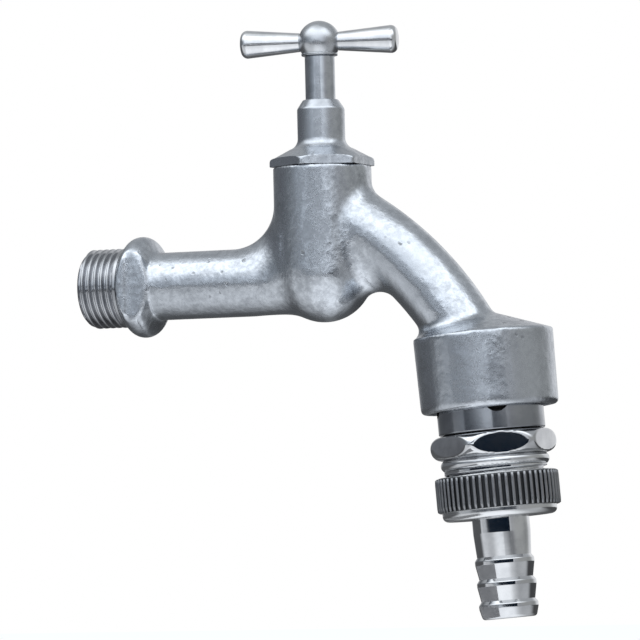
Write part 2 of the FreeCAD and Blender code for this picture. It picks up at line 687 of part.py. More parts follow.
def make_bonnet_gasket():
    body = new_body("bonnet_gasket", "stem")
    turn_solid(body, "Turned", [
        (bonnetThreadOd / 2 + looseGap, barrelTop - gasketThickness),
        (gasketOd / 2, barrelTop - gasketThickness),
        (gasketOd / 2, barrelTop),
        (bonnetThreadOd / 2 + looseGap, barrelTop),
    ])
    return body


def ring_levels():
    lower = barrelTop + lowerRing
    return lower, lower + ringPitch


def make_spindle():
    body = new_body("spindle", "handle")
    shankR = spindleOd / 2
    grooveR = ringRootOd / 2
    threadFrom = spindleBottom + spindleFoot
    corners = [
        (0, spindleBottom),
        (spindleFootOd / 2, spindleBottom),
        (spindleFootOd / 2, threadFrom),
        (spindleThreadOd / 2, threadFrom),
        (spindleThreadOd / 2, threadFrom + spindleThreadLength),
        (shankR, threadFrom + spindleThreadLength),
    ]
    for level in ring_levels():
        corners += [
            (shankR, level - ringGroove / 2),
            (grooveR, level - ringGroove / 2),
            (grooveR, level + ringGroove / 2),
            (shankR, level + ringGroove / 2),
        ]
    corners += [(shankR, hubBottom), (0, hubBottom)]
    turn_solid(body, "Turned", corners)
    square = new_sketch(body, "XY_Plane", "SquareOutline", (0, 0, hubBottom))
    half = squareSide / 2
    draw(square, [(half, -half), (half, half), (-half, half), (-half, -half)])
    pad = body.newObject("PartDesign::Pad", "Square")
    pad.Profile = square
    pad.setExpression("Length", squareLength.text)
    turn_cut(body, "StemSocket", [
        (0, spindleBottom),
        (jumperStemOd / 2 + looseGap, spindleBottom),
        (jumperStemOd / 2 + looseGap, spindleBottom + spindleSocket),
        (0, spindleBottom + spindleSocket),
    ])
    return body


def make_spindle_rings():
    # Two O-rings that fill their grooves up to the bonnet's bore.
    section = (spindleOd - ringRootOd) / 4
    rings = []
    for number, level in enumerate(ring_levels(), 1):
        ring = doc.addObject("Part::Torus", f"SpindleRing{number}")
        ring.setExpression("Radius1", ((spindleOd + ringRootOd) / 4).text)
        ring.setExpression("Radius2", section.text)
        ring.setExpression("Placement.Base.x", stemX.text)
        ring.setExpression("Placement.Base.z", level.text)
        rings.append(ring)
    pair = doc.addObject("Part::Compound", "spindle_o_rings")
    pair.Label = "spindle_o_rings"
    pair.Links = rings
    pieces.append(pair)
    return pair


def make_hub():
    body = new_body("handle_hub", "handle")
    footR = hubFootOd / 2
    ballR = hubOd / 2
    ballFootR = root(ballR * ballR - (hubCentre - hubFoot) * (hubCentre - hubFoot))
    turn_solid(body, "Turned", [
        (0, hubBottom),
        (footR, hubBottom),
        (footR, hubBottom + hubFoot),
        (ballFootR, hubBottom + hubFoot),
        (0, hubMiddle + ballR, ballR, "left"),
    ])
    socket = new_sketch(body, "XY_Plane", "SquareSocketOutline", (0, 0, hubBottom))
    half = squareSide / 2 + looseGap
    draw(socket, [(half, -half), (half, half), (-half, half), (-half, -half)])
    sink(body, "SquareSocket", socket, squareLength + looseGap, reverse=True)
    cross = new_sketch(body, "YZ_Plane", "CrossBoreOutline")
    draw_circle(cross, 0, hubMiddle, spigotOd / 2 + runGap)
    sink(body, "CrossBore", cross, hubOd * 2, both=True)
    for name, right in (("RightSpotFace", True), ("LeftSpotFace", False)):
        spot = new_sketch(body, "YZ_Plane", name + "Outline", (0, 0, armSeat if right else -armSeat))
        draw_circle(spot, 0, hubMiddle, armRootOd / 2 + runGap)
        sink(body, name, spot, hubOd, reverse=right)
    hole = new_sketch(body, "XZ_Plane", "GrubHoleOutline")
    draw_circle(hole, 0, hubBottom + grubHeight, grubOd / 2 + runGap)
    sink(body, "GrubHole", hole, hubOd, reverse=False)
    return body


def make_arm(label, turned):
    body = new_body(label, "handle")
    corner = armLength - armDome - armCorner
    tipR = armTipOd / 2
    turn_solid(body, "Turned", [
        (armSeat - spigotLength, 0),
        (armLength, 0),
        (armLength - armDome, tipR - armCornerDrop, armDomeRound, "left"),
        (corner, tipR, armCornerRound, "left"),
        (armSeat, armRootOd / 2),
        (armSeat, spigotOd / 2),
        (armSeat - spigotLength, spigotOd / 2),
    ], axis="H_Axis", shift=(0, hubMiddle, 0))
    if turned:
        body.setExpression("Placement.Rotation.Angle", (handleTurn + 180).text)
    return body


def make_grub_screw():
    # Set from the back of the hub against the spindle's square.
    body = new_body("handle_grub_screw", "handle")
    turn_solid(body, "Turned", [
        (0, squareSide / 2),
        (grubOd / 2, squareSide / 2),
        (grubOd / 2, squareSide / 2 + grubLength),
        (0, squareSide / 2 + grubLength),
    ], role="XY_Plane", shift=(0, 0, hubBottom + grubHeight))
    key = new_sketch(body, "XZ_Plane", "KeyOutline", (0, hubBottom + grubHeight, -(squareSide / 2 + grubLength)))
    draw_hexagon(key, grubKey)
    sink(body, "Key", key, grubLength / 2, reverse=True)
    return body


def make_jumper():
    body = new_body("jumper", "stem")
    screwR = screwOd / 2 + runGap
    turn_solid(body, "Turned", [
        (screwR, washerTop),
        (jumperOd / 2, washerTop),
        (jumperOd / 2, discTop),
        (jumperBossOd / 2, discTop),
        (jumperBossOd / 2, bossTop),
        (jumperStemOd / 2, bossTop),
        (jumperStemOd / 2, bossTop + jumperStem),
        (0, bossTop + jumperStem),
        (0, washerTop + screwDepth + looseGap),
        (screwR, washerTop + screwDepth + looseGap),
    ])
    return body


def make_seat_washer():
    body = new_body("seat_washer", "stem")
    turn_solid(body, "Turned", [
        (screwOd / 2 + looseGap, washerBottom),
        (washerOd / 2, washerBottom),
        (washerOd / 2, washerTop),
        (screwOd / 2 + looseGap, washerTop),
    ])
    return body


def make_washer_screw():
    body = new_body("washer_screw", "stem")
    turn_solid(body, "Turned", [
        (0, washerBottom - screwHead),
        (screwHeadOd / 2, washerBottom - screwHead),
        (screwHeadOd / 2, washerBottom),
        (screwOd / 2, washerBottom),
        (screwOd / 2, washerTop + screwDepth),
        (0, washerTop + screwDepth),
    ])
    slot = new_sketch(body, "XY_Plane", "SlotOutline", (0, 0, washerBottom - screwHead))
    half = screwSlot / 2
    draw(slot, [(screwHeadOd, -half), (screwHeadOd, half), (-screwHeadOd, half), (-screwHeadOd, -half)])
    sink(body, "Slot", slot, screwSlot, reverse=True)
    return body


def make_breaker_gasket():
    body = new_body("breaker_gasket", "outlet")
    turn_solid(body, "Turned", [
        (breakerSealBore / 2, bellThreadTop),
        (bellThreadOd / 2, bellThreadTop),
        (bellThreadOd / 2, breakerTop),
        (breakerSealBore / 2, breakerTop),
    ])
    return body


def make_breaker_body():
    body = new_body("breaker_body", "outlet")
    threadR = adapterThreadOd / 2 + threadGap
    turn_solid(body, "Turned", [
        (cageSeatOd / 2, breakerTop),
        (bellThreadOd / 2, breakerTop),
        (bellThreadOd / 2, recessTop),
        (breakerOd / 2, recessTop),
        (breakerOd / 2, breakerEnd),
        (ringSeatOd / 2, breakerEnd),
        (ringSeatOd / 2, breakerEnd - ringSeatDepth),
        (threadR, breakerEnd - ringSeatDepth),
        (threadR, adapterTop - threadRelief),
        (airChamberOd / 2, adapterTop - threadRelief),
        (airChamberOd / 2, ledgeEnd),
        (cageNeck / 2, ledgeEnd),
        (cageNeck / 2, cageFlangeEnd),
        (cageSeatOd / 2, cageFlangeEnd),
    ])
    hole = turn_cut(body, "AirHole", [
        (0, -breakerOd),
        (airHoleOd / 2, -breakerOd),
        (airHoleOd / 2, 0),
        (0, 0),
    ], role="XY_Plane", shift=(0, 0, airHoleLevel), turn=-outletTurn)
    repeat(body, "AirHoles", hole, "Z_Axis", airHoleCount)
    return body


def make_check_cage():
    body = new_body("check_cage", "outlet")
    wallR = cageNeck / 2 - 2 * looseGap
    flangeR = cageSeatOd / 2 - looseGap
    innerR = wallR - cageWall
    plateEnd = breakerTop + cagePlate
    turn_solid(body, "Turned", [
        (checkSeatOd / 2, breakerTop),
        (flangeR, breakerTop),
        (flangeR, cageFlangeEnd - restGap),
        (wallR, cageFlangeEnd - restGap),
        (wallR, cageEnd),
        (poppetStemOd / 2 + looseGap, cageEnd),
        (poppetStemOd / 2 + looseGap, spiderTop),
        (innerR, spiderTop),
        (innerR, plateEnd),
        (checkSeatOd / 2, plateEnd),
    ])
    spot = new_sketch(body, "XY_Plane", "WaterHoleOutline", (0, 0, spiderTop))
    draw_circle(spot, cageHolePcd / 2, 0, cageHoleOd / 2)
    hole = sink(body, "WaterHole", spot, cageSpider * 2, reverse=True)
    repeat(body, "WaterHoles", hole, "Z_Axis", cageHoleCount)
    return body


def make_check_poppet():
    body = new_body("check_poppet", "outlet")
    noseR = poppetNoseOd / 2
    turn_solid(body, "Turned", [
        (0, poppetSealTop - poppetNose),
        (noseR, poppetSealTop - poppetNose),
        (noseR, poppetTop),
        (poppetOd / 2, poppetTop),
        (poppetOd / 2, poppetHeadEnd),
        (poppetStemOd / 2, poppetHeadEnd),
        (poppetStemOd / 2, poppetStemEnd),
        (0, poppetStemEnd),
    ])
    return body


def make_poppet_seal():
    body = new_body("poppet_seal", "outlet")
    turn_solid(body, "Turned", [
        (poppetNoseOd / 2, poppetSealTop),
        (poppetSealOd / 2, poppetSealTop),
        (poppetSealOd / 2, poppetTop),
        (poppetNoseOd / 2, poppetTop),
    ])
    return body


def arc_from(start, way, reach, end):
    # The arc that leaves start along way and comes to end, both ends reach away from the tangents' meeting.
    corner = start + way * reach
    weight = (end - start).Length / (2 * reach)
    middle = (start + corner * (2 * weight) + end) * (1 / (2 + 2 * weight))
    return Part.Arc(start, middle, end).toShape()


def coil(meanRadius, top, pitch, turns):
    # A coil's centre line in pairs of arcs, one pair to each half turn, with no kink between them.
    def spot(angle):
        height = top + pitch * angle / (2 * math.pi)
        return FreeCAD.Vector(meanRadius * math.cos(angle), meanRadius * math.sin(angle), height)

    def heading(angle):
        slope = pitch / (2 * math.pi * meanRadius)
        return FreeCAD.Vector(-math.sin(angle), math.cos(angle), slope).normalize()

    arcs = []
    for half in range(round(2 * turns)):
        start = spot(math.pi * half)
        end = spot(math.pi * (half + 1))
        first = heading(math.pi * half)
        last = heading(math.pi * (half + 1))
        across = end - start
        pull = first + last
        # The two arcs share one reach: |across - reach * pull| = 2 * reach
        a = 4 - pull.dot(pull)
        b = 2 * across.dot(pull)
        reach = (math.sqrt(b * b + 4 * a * across.dot(across)) - b) / (2 * a)
        join_at = (start + first * reach + end - last * reach) * 0.5
        arcs.append(arc_from(start, first, reach, join_at))
        arcs.append(arc_from(end, -last, reach, join_at))
    return Part.Wire(Part.__sortEdges__(arcs))


def make_check_spring():
    wireR = springWire.value / 2
    meanRadius = springOd.value / 2 - wireR
    top = poppetHeadEnd.value + restGap.value + wireR
    bottom = spiderTop.value - restGap.value - wireR
    pitch = (bottom - top) / springTurns.value
    line = coil(meanRadius, top, pitch, springTurns.value)
    start = line.Edges[0]
    begin = start.valueAt(start.FirstParameter)
    circle = Part.Circle(begin, start.tangentAt(start.FirstParameter), wireR)
    shape = line.makePipeShell([Part.Wire(circle.toShape())], True, False)
    spring = doc.addObject("Part::Feature", "check_spring")
    spring.Label = "check_spring"
    spring.Shape = shape
    spring.Placement = FreeCAD.Placement(
        FreeCAD.Vector(outletX.value, 0, -outletDrop.value),
        FreeCAD.Rotation(FreeCAD.Vector(0, 1, 0), 180 - outletLean.value))
    pieces.append(spring)
    print(f"spring: pitch {pitch:.2f} mm, gap between turns {pitch - springWire.value:.2f} mm")
    return spring


def make_air_diaphragm():
    body = new_body("air_diaphragm", "outlet")
    gripR = cageNeck / 2 - looseGap
    tipR = airChamberOd / 2 - lipAirGap
    beadEnd = lipTop + lipBead
    neckR = gripR + looseGap * 2 + lipWall
    turn_solid(body, "Turned", [
        (gripR, lipTop),
        (gripR + lipBeadWall, lipTop),
        (gripR + lipBeadWall, beadEnd),
        (neckR, beadEnd + lipNeck),
        (tipR, lipEnd),
        (tipR - lipWall, lipEnd),
        (neckR - lipWall, beadEnd + lipNeck),
        (gripR, beadEnd),
    ])
    return body


def make_adapter_ring():
    body = new_body("adapter_o_ring", "outlet")
    innerR = adapterThreadOd / 2
    minorR = (ringSeatOd / 2 - innerR - looseGap) / 2
    sketch = new_sketch(body, "XZ_Plane", "TurnedOutline")
    draw_circle(sketch, innerR + looseGap / 2 + minorR, breakerEnd - ringSeatDepth / 2, minorR)
    feature = body.newObject("PartDesign::Revolution", "Turned")
    feature.Profile = sketch
    feature.ReferenceAxis = (sketch, ["V_Axis"])
    feature.Angle = 360
    return body


def make_hex_adapter():
    body = new_body("hex_adapter", "outlet")
    upperR = adapterThreadOd / 2
    ringFootR = hexRingOd / 2 - hexRingRise
    stepFootR = stepOd / 2 - stepRise
    ringRound = bulge_radius(hexRingRise, hexRingHeight)
    stepRound = bulge_radius(stepRise, stepHeight)
    threadR = unionThreadOd / 2
    turn_solid(body, "Turned", [
        (adapterBore / 2, adapterTop),
        (upperR, adapterTop),
        (upperR, breakerEnd),
        (ringFootR, breakerEnd),
        (ringFootR, hexEnd, ringRound, "left"),
        (stepFootR, hexEnd),
        (stepFootR, stepEnd, stepRound, "left"),
        (threadR, stepEnd),
        (threadR, threadEnd - unionChamfer),
        (threadR - unionChamfer, threadEnd),
        (adapterBore / 2, threadEnd),
    ])
    hex_ring_cut(body, "SpannerFlats", hexFlats, breakerEnd, hexRingHeight, -outletTurn)
    return body


def make_tail_washer():
    body = new_body("tail_washer", "outlet")
    turn_solid(body, "Turned", [
        (tailWasherBore / 2, tailWasherTop),
        (tailCollarOd / 2, tailWasherTop),
        (tailCollarOd / 2, tailTop),
        (tailWasherBore / 2, tailTop),
    ])
    return body


def make_union_nut():
    body = new_body("union_nut", "outlet")
    holeR = tailOd / 2 + nutHoleGap
    threadR = unionThreadOd / 2 + threadGap
    rimR = nutRimOd / 2
    turn_solid(body, "Turned", [
        (holeR, nutFloorTop),
        (threadR, nutFloorTop),
        (threadR, nutTop),
        (nutTopOd / 2, nutTop),
        (nutOd / 2, nutTop + nutTopChamfer),
        (nutOd / 2, nutTop + nutFluted),
        (rimR, nutTop + nutFluted),
        (rimR, nutEnd - nutRimRound),
        (rimR - nutRimRound, nutEnd, nutRimRound, "left"),
        (holeR, nutEnd),
    ])
    flute = new_sketch(body, "XY_Plane", "FluteOutline", (0, 0, nutTop))
    draw_circle(flute, nutOd / 2 + fluteSink, 0, fluteRadius)
    cut = sink(body, "Flute", flute, nutFluted, reverse=True)
    repeat(body, "Flutes", cut, "Z_Axis", fluteCount)
    return body


def make_hose_tail():
    body = new_body("hose_tail", "outlet")
    barbR = barbOd / 2
    rootR = barbRootOd / 2
    corners = [
        (tailBore / 2, tailTop),
        (tailCollarOd / 2, tailTop),
        (tailCollarOd / 2, tailCollarEnd),
        (tailOd / 2, tailCollarEnd),
        (tailOd / 2, nutEnd),
        (tailWaistOd / 2, barbStart),
    ]
    for barb in range(barbCount):
        edge = barbStart + barb * barbPitch
        if barb > 0:
            corners.append((rootR, edge))
        corners.append((barbR, edge + barbEdge))
        corners.append((barbR, edge + barbEdge + barbLand))
    corners += [
        (rootR, tailEnd - tailEndRound),
        (rootR - tailEndRound, tailEnd, tailEndRound, "left"),
        (tailBore / 2, tailEnd),
    ]
    turn_solid(body, "Turned", corners)
    return body


def main():
    make_valve_body()
    make_bonnet()
    make_bonnet_gasket()
    make_spindle()
    make_spindle_rings()
    make_hub()
    make_arm("handle_arm_right", turned=False)
    make_arm("handle_arm_left", turned=True)
    make_grub_screw()
    make_jumper()
    make_seat_washer()
    make_washer_screw()
    make_breaker_gasket()
    make_breaker_body()
    make_check_cage()
    make_check_poppet()
    make_poppet_seal()
    make_check_spring()
    make_air_diaphragm()
    make_adapter_ring()
    make_hex_adapter()
    make_tail_washer()
    make_union_nut()
    make_hose_tail()
    doc.recompute()

    faults = [item.Name for item in doc.Objects if {"Invalid", "Error"} & set(item.State)]
    for piece in pieces:
        if piece.Shape.isNull() or not piece.Shape.isValid():
            faults.append(piece.Label + " has no valid shape")
    if faults:
        raise RuntimeError("not built: " + ", ".join(faults))
    for piece in pieces:
        piece.Shape.exportStep(f"parts/{piece.Label}.step")
        box = piece.Shape.BoundBox
        solids = len(piece.Shape.Solids)
        print(f"{piece.Label}: {solids} solid, z {box.ZMin:.2f} to {box.ZMax:.2f}, {piece.Shape.Volume:.1f} mm3")


main()
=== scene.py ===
import json
import math

import bmesh
import bpy
from mathutils import Matrix, Vector

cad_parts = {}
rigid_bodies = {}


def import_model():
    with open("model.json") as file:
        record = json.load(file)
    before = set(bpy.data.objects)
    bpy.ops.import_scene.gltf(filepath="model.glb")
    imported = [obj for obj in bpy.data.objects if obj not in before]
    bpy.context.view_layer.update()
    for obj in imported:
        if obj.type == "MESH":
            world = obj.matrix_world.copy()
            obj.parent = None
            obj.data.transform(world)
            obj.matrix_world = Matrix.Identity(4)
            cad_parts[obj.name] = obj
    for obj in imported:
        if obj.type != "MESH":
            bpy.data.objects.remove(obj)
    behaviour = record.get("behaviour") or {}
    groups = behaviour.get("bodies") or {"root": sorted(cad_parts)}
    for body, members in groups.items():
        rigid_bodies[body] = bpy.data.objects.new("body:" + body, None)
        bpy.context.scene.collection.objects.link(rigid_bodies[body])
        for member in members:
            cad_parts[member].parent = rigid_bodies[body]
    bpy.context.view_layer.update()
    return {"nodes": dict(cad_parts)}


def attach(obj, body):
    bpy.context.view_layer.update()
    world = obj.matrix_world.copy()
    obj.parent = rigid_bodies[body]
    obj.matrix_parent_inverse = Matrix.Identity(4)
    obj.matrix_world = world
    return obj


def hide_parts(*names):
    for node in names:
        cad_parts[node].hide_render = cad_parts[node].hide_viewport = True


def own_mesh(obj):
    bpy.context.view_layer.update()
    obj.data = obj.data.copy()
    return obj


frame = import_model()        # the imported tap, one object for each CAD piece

print("frame loaded:", len(frame["nodes"]), "pieces")

mm = 0.001

# Places of the tap's axes, in mm and degrees. Local Z runs up the stem, out of the hub along an
# arm, down the outlet and out of the inlet towards the wall.
tapAxes = {
    "stemX": 55.2,
    "handleTurn": 12.0,
    "hubMiddle": 62.0,
    "outletX": 98.4,
    "outletZ": -15.8,
    "outletLean": 4.3,
}


def shifted(x, y, z):
    return Matrix.Translation((x * mm, y * mm, z * mm))


def rotated(degrees, axis):
    return Matrix.Rotation(math.radians(degrees), 4, axis)


stemPlace = shifted(tapAxes["stemX"], 0, 0)
hubPlace = stemPlace @ rotated(tapAxes["handleTurn"], "Z") @ shifted(0, 0, tapAxes["hubMiddle"])
armPlace = hubPlace @ rotated(90, "Y")
outletPlace = shifted(tapAxes["outletX"], 0, tapAxes["outletZ"]) @ rotated(180 - tapAxes["outletLean"], "Y")
inletPlace = rotated(-90, "Y")


def sumOf(operation, swapped=False):
    # A method of Wire that adds one maths node.
    def method(self, *others):
        values = (self, *others)
        return self.maths(operation, *(reversed(values) if swapped else values))
    return method


class Wire:
    # One output socket of a node tree that takes part in ordinary sums.
    def __init__(self, tree, socket):
        self.tree = tree
        self.socket = socket

    def maths(self, operation, *values):
        node = self.tree.add("ShaderNodeMath", {"operation": operation}, dict(enumerate(values)))
        return Wire(self.tree, node.outputs[0])

    __add__ = sumOf("ADD")
    __radd__ = sumOf("ADD", swapped=True)
    __sub__ = sumOf("SUBTRACT")
    __rsub__ = sumOf("SUBTRACT", swapped=True)
    __mul__ = sumOf("MULTIPLY")
    __truediv__ = sumOf("DIVIDE")
    __pow__ = sumOf("POWER")
    most = sumOf("MAXIMUM")
    least = sumOf("MINIMUM")
    fraction = sumOf("FRACT")
    size = sumOf("ABSOLUTE")
    cosine = sumOf("COSINE")
    sine = sumOf("SINE")

    def between(self, low, high, start=0.0, end=1.0):
        # Smooth step from start to end while the value goes from low to high.
        inputs = {0: self, 1: low, 2: high, 3: start, 4: end}
        node = self.tree.add("ShaderNodeMapRange", {"interpolation_type": "SMOOTHSTEP"}, inputs)
        return Wire(self.tree, node.outputs[0])


class Tree:
    # A node tree of a material, a geometry group or the world.
    def __init__(self, nodes, links):
        self.nodes = nodes
        self.links = links

    def add(self, kind, settings=None, inputs=None):
        node = self.nodes.new(kind)
        for name, value in (settings or {}).items():
            if name == "stops":
                self.setStops(node.color_ramp, value)
            else:
                setattr(node, name, value)
        for name, value in (inputs or {}).items():
            if isinstance(value, Wire):
                self.links.new(value.socket, node.inputs[name])
            else:
                node.inputs[name].default_value = value
        return node

    def setStops(self, ramp, stops):
        while len(ramp.elements) < len(stops):
            ramp.elements.new(0.5)
        for element, (position, colour) in zip(ramp.elements, stops):
            element.position = position
            element.color = colour

    def wire(self, node, name=0):
        return Wire(self, node.outputs[name])


# Meshes

def rounded(corners, steps):
    # corners: (radius, level) or (radius, level, rounding) in mm, a closed outline.
    outline = []
    count = len(corners)
    for index, corner in enumerate(corners):
        here = Vector(corner[:2])
        if len(corner) == 2 or corner[2] <= 0:
            outline.append(tuple(here))
            continue
        before = (Vector(corners[index - 1][:2]) - here).normalized()
        after = (Vector(corners[(index + 1) % count][:2]) - here).normalized()
        half = before.angle(after) / 2
        reach = corner[2] / math.tan(half)
        centre = here + (before + after).normalized() * (corner[2] / math.sin(half))
        start = here + before * reach - centre
        end = here + after * reach - centre
        sweep = start.angle_signed(end)
        for step in range(steps + 1):
            spoke = start.copy()
            spoke.rotate(Matrix.Rotation(-sweep * step / steps, 2))
            outline.append(tuple(centre + spoke))
    return outline


def bulged(start, end, radius, steps, side=1):
    # Points of the arc from start to end, without its ends; side 1 bulges to the right of the way.
    first = Vector(start)
    last = Vector(end)
    way = last - first
    rise = math.sqrt(radius * radius - way.length_squared / 4)
    centre = (first + last) / 2 + Vector((-way.y, way.x)).normalized() * rise * side
    fromCentre = first - centre
    sweep = fromCentre.angle_signed(last - centre)
    points = []
    for step in range(1, steps):
        spoke = fromCentre.copy()
        spoke.rotate(Matrix.Rotation(-sweep * step / steps, 2))
        points.append(tuple(centre + spoke))
    return points


def braced(outline):
    # Adds points close to both ends of each long straight, so that its shading stays straight.
    hold = 0.1
    points = []
    for index, point in enumerate(outline):
        points.append(point)
        here = Vector(point)
        way = Vector(outline[(index + 1) % len(outline)]) - here
        if way.length > 6 * hold:
            near = way.normalized() * hold
            points += [tuple(here + near), tuple(here + way - near)]
    return points


def linked(name, data):
    thing = bpy.data.objects.new(name, data)
    bpy.context.scene.collection.objects.link(thing)
    return thing


def newPiece(name, mesh, material, sharpAngle=28):
    mesh.shade_smooth()
    mesh.set_sharp_from_angle(angle=math.radians(sharpAngle))
    mesh.materials.clear()
    mesh.materials.append(material)
    return linked(name, mesh)


def turned(name, corners, place, material, segments=160, limit=None, sharpAngle=28, steps=5):
    # A closed outline of (radius, level) turned about local Z; limit(angle, radius, level) cuts flats.
    shape = bmesh.new()
    rings = []
    for radius, level in braced(rounded(corners, steps)):
        if radius < 1e-6:
            rings.append([shape.verts.new((0, 0, level * mm))])
            continue
        ring = []
        for step in range(segments):
            angle = 2 * math.pi * step / segments
            reach = (limit(angle, radius, level) if limit else radius) * mm
            ring.append(shape.verts.new((reach * math.cos(angle), reach * math.sin(angle), level * mm)))
        rings.append(ring)
    for index, ring in enumerate(rings):
        other = rings[(index + 1) % len(rings)]
        if len(ring) == 1 and len(other) == 1:
            continue
        for step in range(segments):
            after = (step + 1) % segments
            if len(ring) == 1:
                shape.faces.new((ring[0], other[after], other[step]))
            elif len(other) == 1:
                shape.faces.new((ring[step], ring[after], other[0]))
            else:
                shape.faces.new((ring[step], ring[after], other[after], other[step]))
    bmesh.ops.remove_doubles(shape, verts=shape.verts, dist=1e-7)
    bmesh.ops.recalc_face_normals(shape, faces=shape.faces)
    mesh = bpy.data.meshes.new(name)
    shape.to_mesh(mesh)
    shape.free()
    mesh.transform(place)
    return newPiece(name, mesh, material, sharpAngle)


def hexagonLimit(flats, turn, lowest, highest):
    # Keeps the outline inside a hexagon between two levels; turn is the direction of one flat's
    # middle and edge the width over which a flat's rim is rounded.
    edge = 0.4

    def limit(angle, radius, level):
        if not lowest - 0.001 <= level <= highest + 0.001:
            return radius
        off = (angle - math.radians(turn) + math.pi / 6) % (math.pi / 3) - math.pi / 6
        flat = flats / 2 / math.cos(off)
        nearness = max(edge - abs(radius - flat), 0) / edge
        return min(radius, flat) - nearness * nearness * edge / 4
    return limit


def remade(name, helpers, material, sharpAngle=28, place=Matrix()):
    # A plain piece instead of the helpers: the first with its modifiers applied, put in its place.
    finished = helpers[0].evaluated_get(bpy.context.evaluated_depsgraph_get())
    mesh = bpy.data.meshes.new_from_object(finished)
    mesh.name = name
    for helper in helpers:
        bpy.data.objects.remove(helper)
    mesh.transform(place)
    return newPiece(name, mesh, material, sharpAngle)


def cutAway(piece, name, cutter):
    cut = piece.modifiers.new(name, "BOOLEAN")
    cut.operation = "DIFFERENCE"
    cut.solver = "EXACT"
    cut.object = cutter


def soften(piece, name, times, zone=""):
    # Smooths the whole piece, or the vertex group named as its zone.
    smooth = piece.modifiers.new(name, "SMOOTH")
    smooth.factor = 0.5
    smooth.iterations = times
    smooth.vertex_group = zone


# Geometry Nodes

def newGroup(name, inputs):
    # A geometry group with a material and named inputs, listed by the kind of socket.
    group = bpy.data.node_groups.new(name, "GeometryNodeTree")
    group.interface.new_socket("Geometry", in_out="OUTPUT", socket_type="NodeSocketGeometry")
    group.interface.new_socket("Geometry", in_out="INPUT", socket_type="NodeSocketGeometry")
    inputs = dict(inputs, Material=["Material"])
    for kind, labels in inputs.items():
        for label in labels:
            group.interface.new_socket(label, in_out="INPUT", socket_type="NodeSocket" + kind)
    tree = Tree(group.nodes, group.links)
    entry = tree.add("NodeGroupInput")
    return group, tree, {label: tree.wire(entry, label) for labels in inputs.values() for label in labels}


def closeGroup(tree, geometry, material):
    # Every tree ends in plain geometry that carries its material.
    real = tree.add("GeometryNodeRealizeInstances", None, {"Geometry": geometry})
    dressed = tree.add("GeometryNodeSetMaterial", None, {"Geometry": tree.wire(real), "Material": material})
    tree.add("NodeGroupOutput", None, {0: tree.wire(dressed)})


def grown(name, group, values, place, material):
    # Runs a geometry group and returns its result as a plain piece. Values with a point are in mm.
    seed = linked(name + "Seed", bpy.data.meshes.new(name + "Seed"))
    modifier = seed.modifiers.new(name, "NODES")
    modifier.node_group = group
    sockets = {item.name: item.identifier for item in group.interface.items_tree
               if getattr(item, "in_out", "") == "INPUT"}
    for label, value in values.items():
        modifier[sockets[label]] = value * mm if isinstance(value, float) else value
    modifier[sockets["Material"]] = material
    return remade(name, [seed], material, 60, place)


def sleeve(tree, around, along):
    # A flat grid with its two shares in turn: round the axis (0 to 1) and along it (0 to 1).
    grid = tree.add("GeometryNodeMeshGrid", None,
                    {"Size X": 1.0, "Size Y": 1.0, "Vertices X": around, "Vertices Y": along})
    place = tree.add("ShaderNodeSeparateXYZ", None, {0: tree.wire(tree.add("GeometryNodeInputPosition"))})
    return tree.wire(grid, "Mesh"), tree.wire(place, "X") + 0.5, tree.wire(place, "Y") + 0.5


def wrapped(tree, mesh, angle, radius, level):
    # Moves a grid's points to their angle, radius and level about local Z and closes the seam.
    spot = tree.add("ShaderNodeCombineXYZ", None,
                    {"X": radius * angle.cosine(), "Y": radius * angle.sine(), "Z": level})
    moved = tree.add("GeometryNodeSetPosition", None, {"Geometry": mesh, "Position": tree.wire(spot)})
    joined = tree.add("GeometryNodeMergeByDistance", None, {"Geometry": tree.wire(moved), "Distance": 1e-7})
    return tree.wire(joined)


def threadGroup():
    # A right-hand screw thread as one closed sleeve: full depth in the middle, a lead at its open
    # end and a run-out where it meets the piece. The last two rows close it on the inside.
    group, tree, given = newGroup("screwThread", {
        "Float": ["Major radius", "Depth", "Pitch", "Length", "Lead", "Run-out"],
        "Int": ["Rows"],
    })
    mesh, share, way = sleeve(tree, around=145, along=given["Rows"] + 3)
    angle = share * (2 * math.pi)
    row = way * (given["Rows"] + 2)
    inside = row.between(0.4, 0.6, 1.0, 0.0).most(row.between(given["Rows"] + 0.4, given["Rows"] + 0.6))
    risen = ((row - 1) / (given["Rows"] - 1)).most(0.0).least(1.0)
    level = risen * given["Length"] * row.between(given["Rows"] + 1.4, given["Rows"] + 1.6, 1.0, 0.0)
    phase = (level / given["Pitch"] - share + 40.0).fraction()
    flank = ((phase - 0.5).size() * 2.0).between(0.12, 0.88)
    runOut = level.between(given["Run-out"] * 0.35, given["Run-out"])
    radius = given["Major radius"] - given["Depth"] * flank * runOut
    lead = given["Major radius"] - given["Lead"] + (given["Length"] - level)
    inner = given["Major radius"] - given["Depth"] - given["Lead"] * 0.5
    reach = radius.least(lead) * (1 - inside) + inner * inside
    closeGroup(tree, wrapped(tree, mesh, angle, reach, level), given["Material"])
    return group


screwThread = threadGroup()
print("thread group ready")


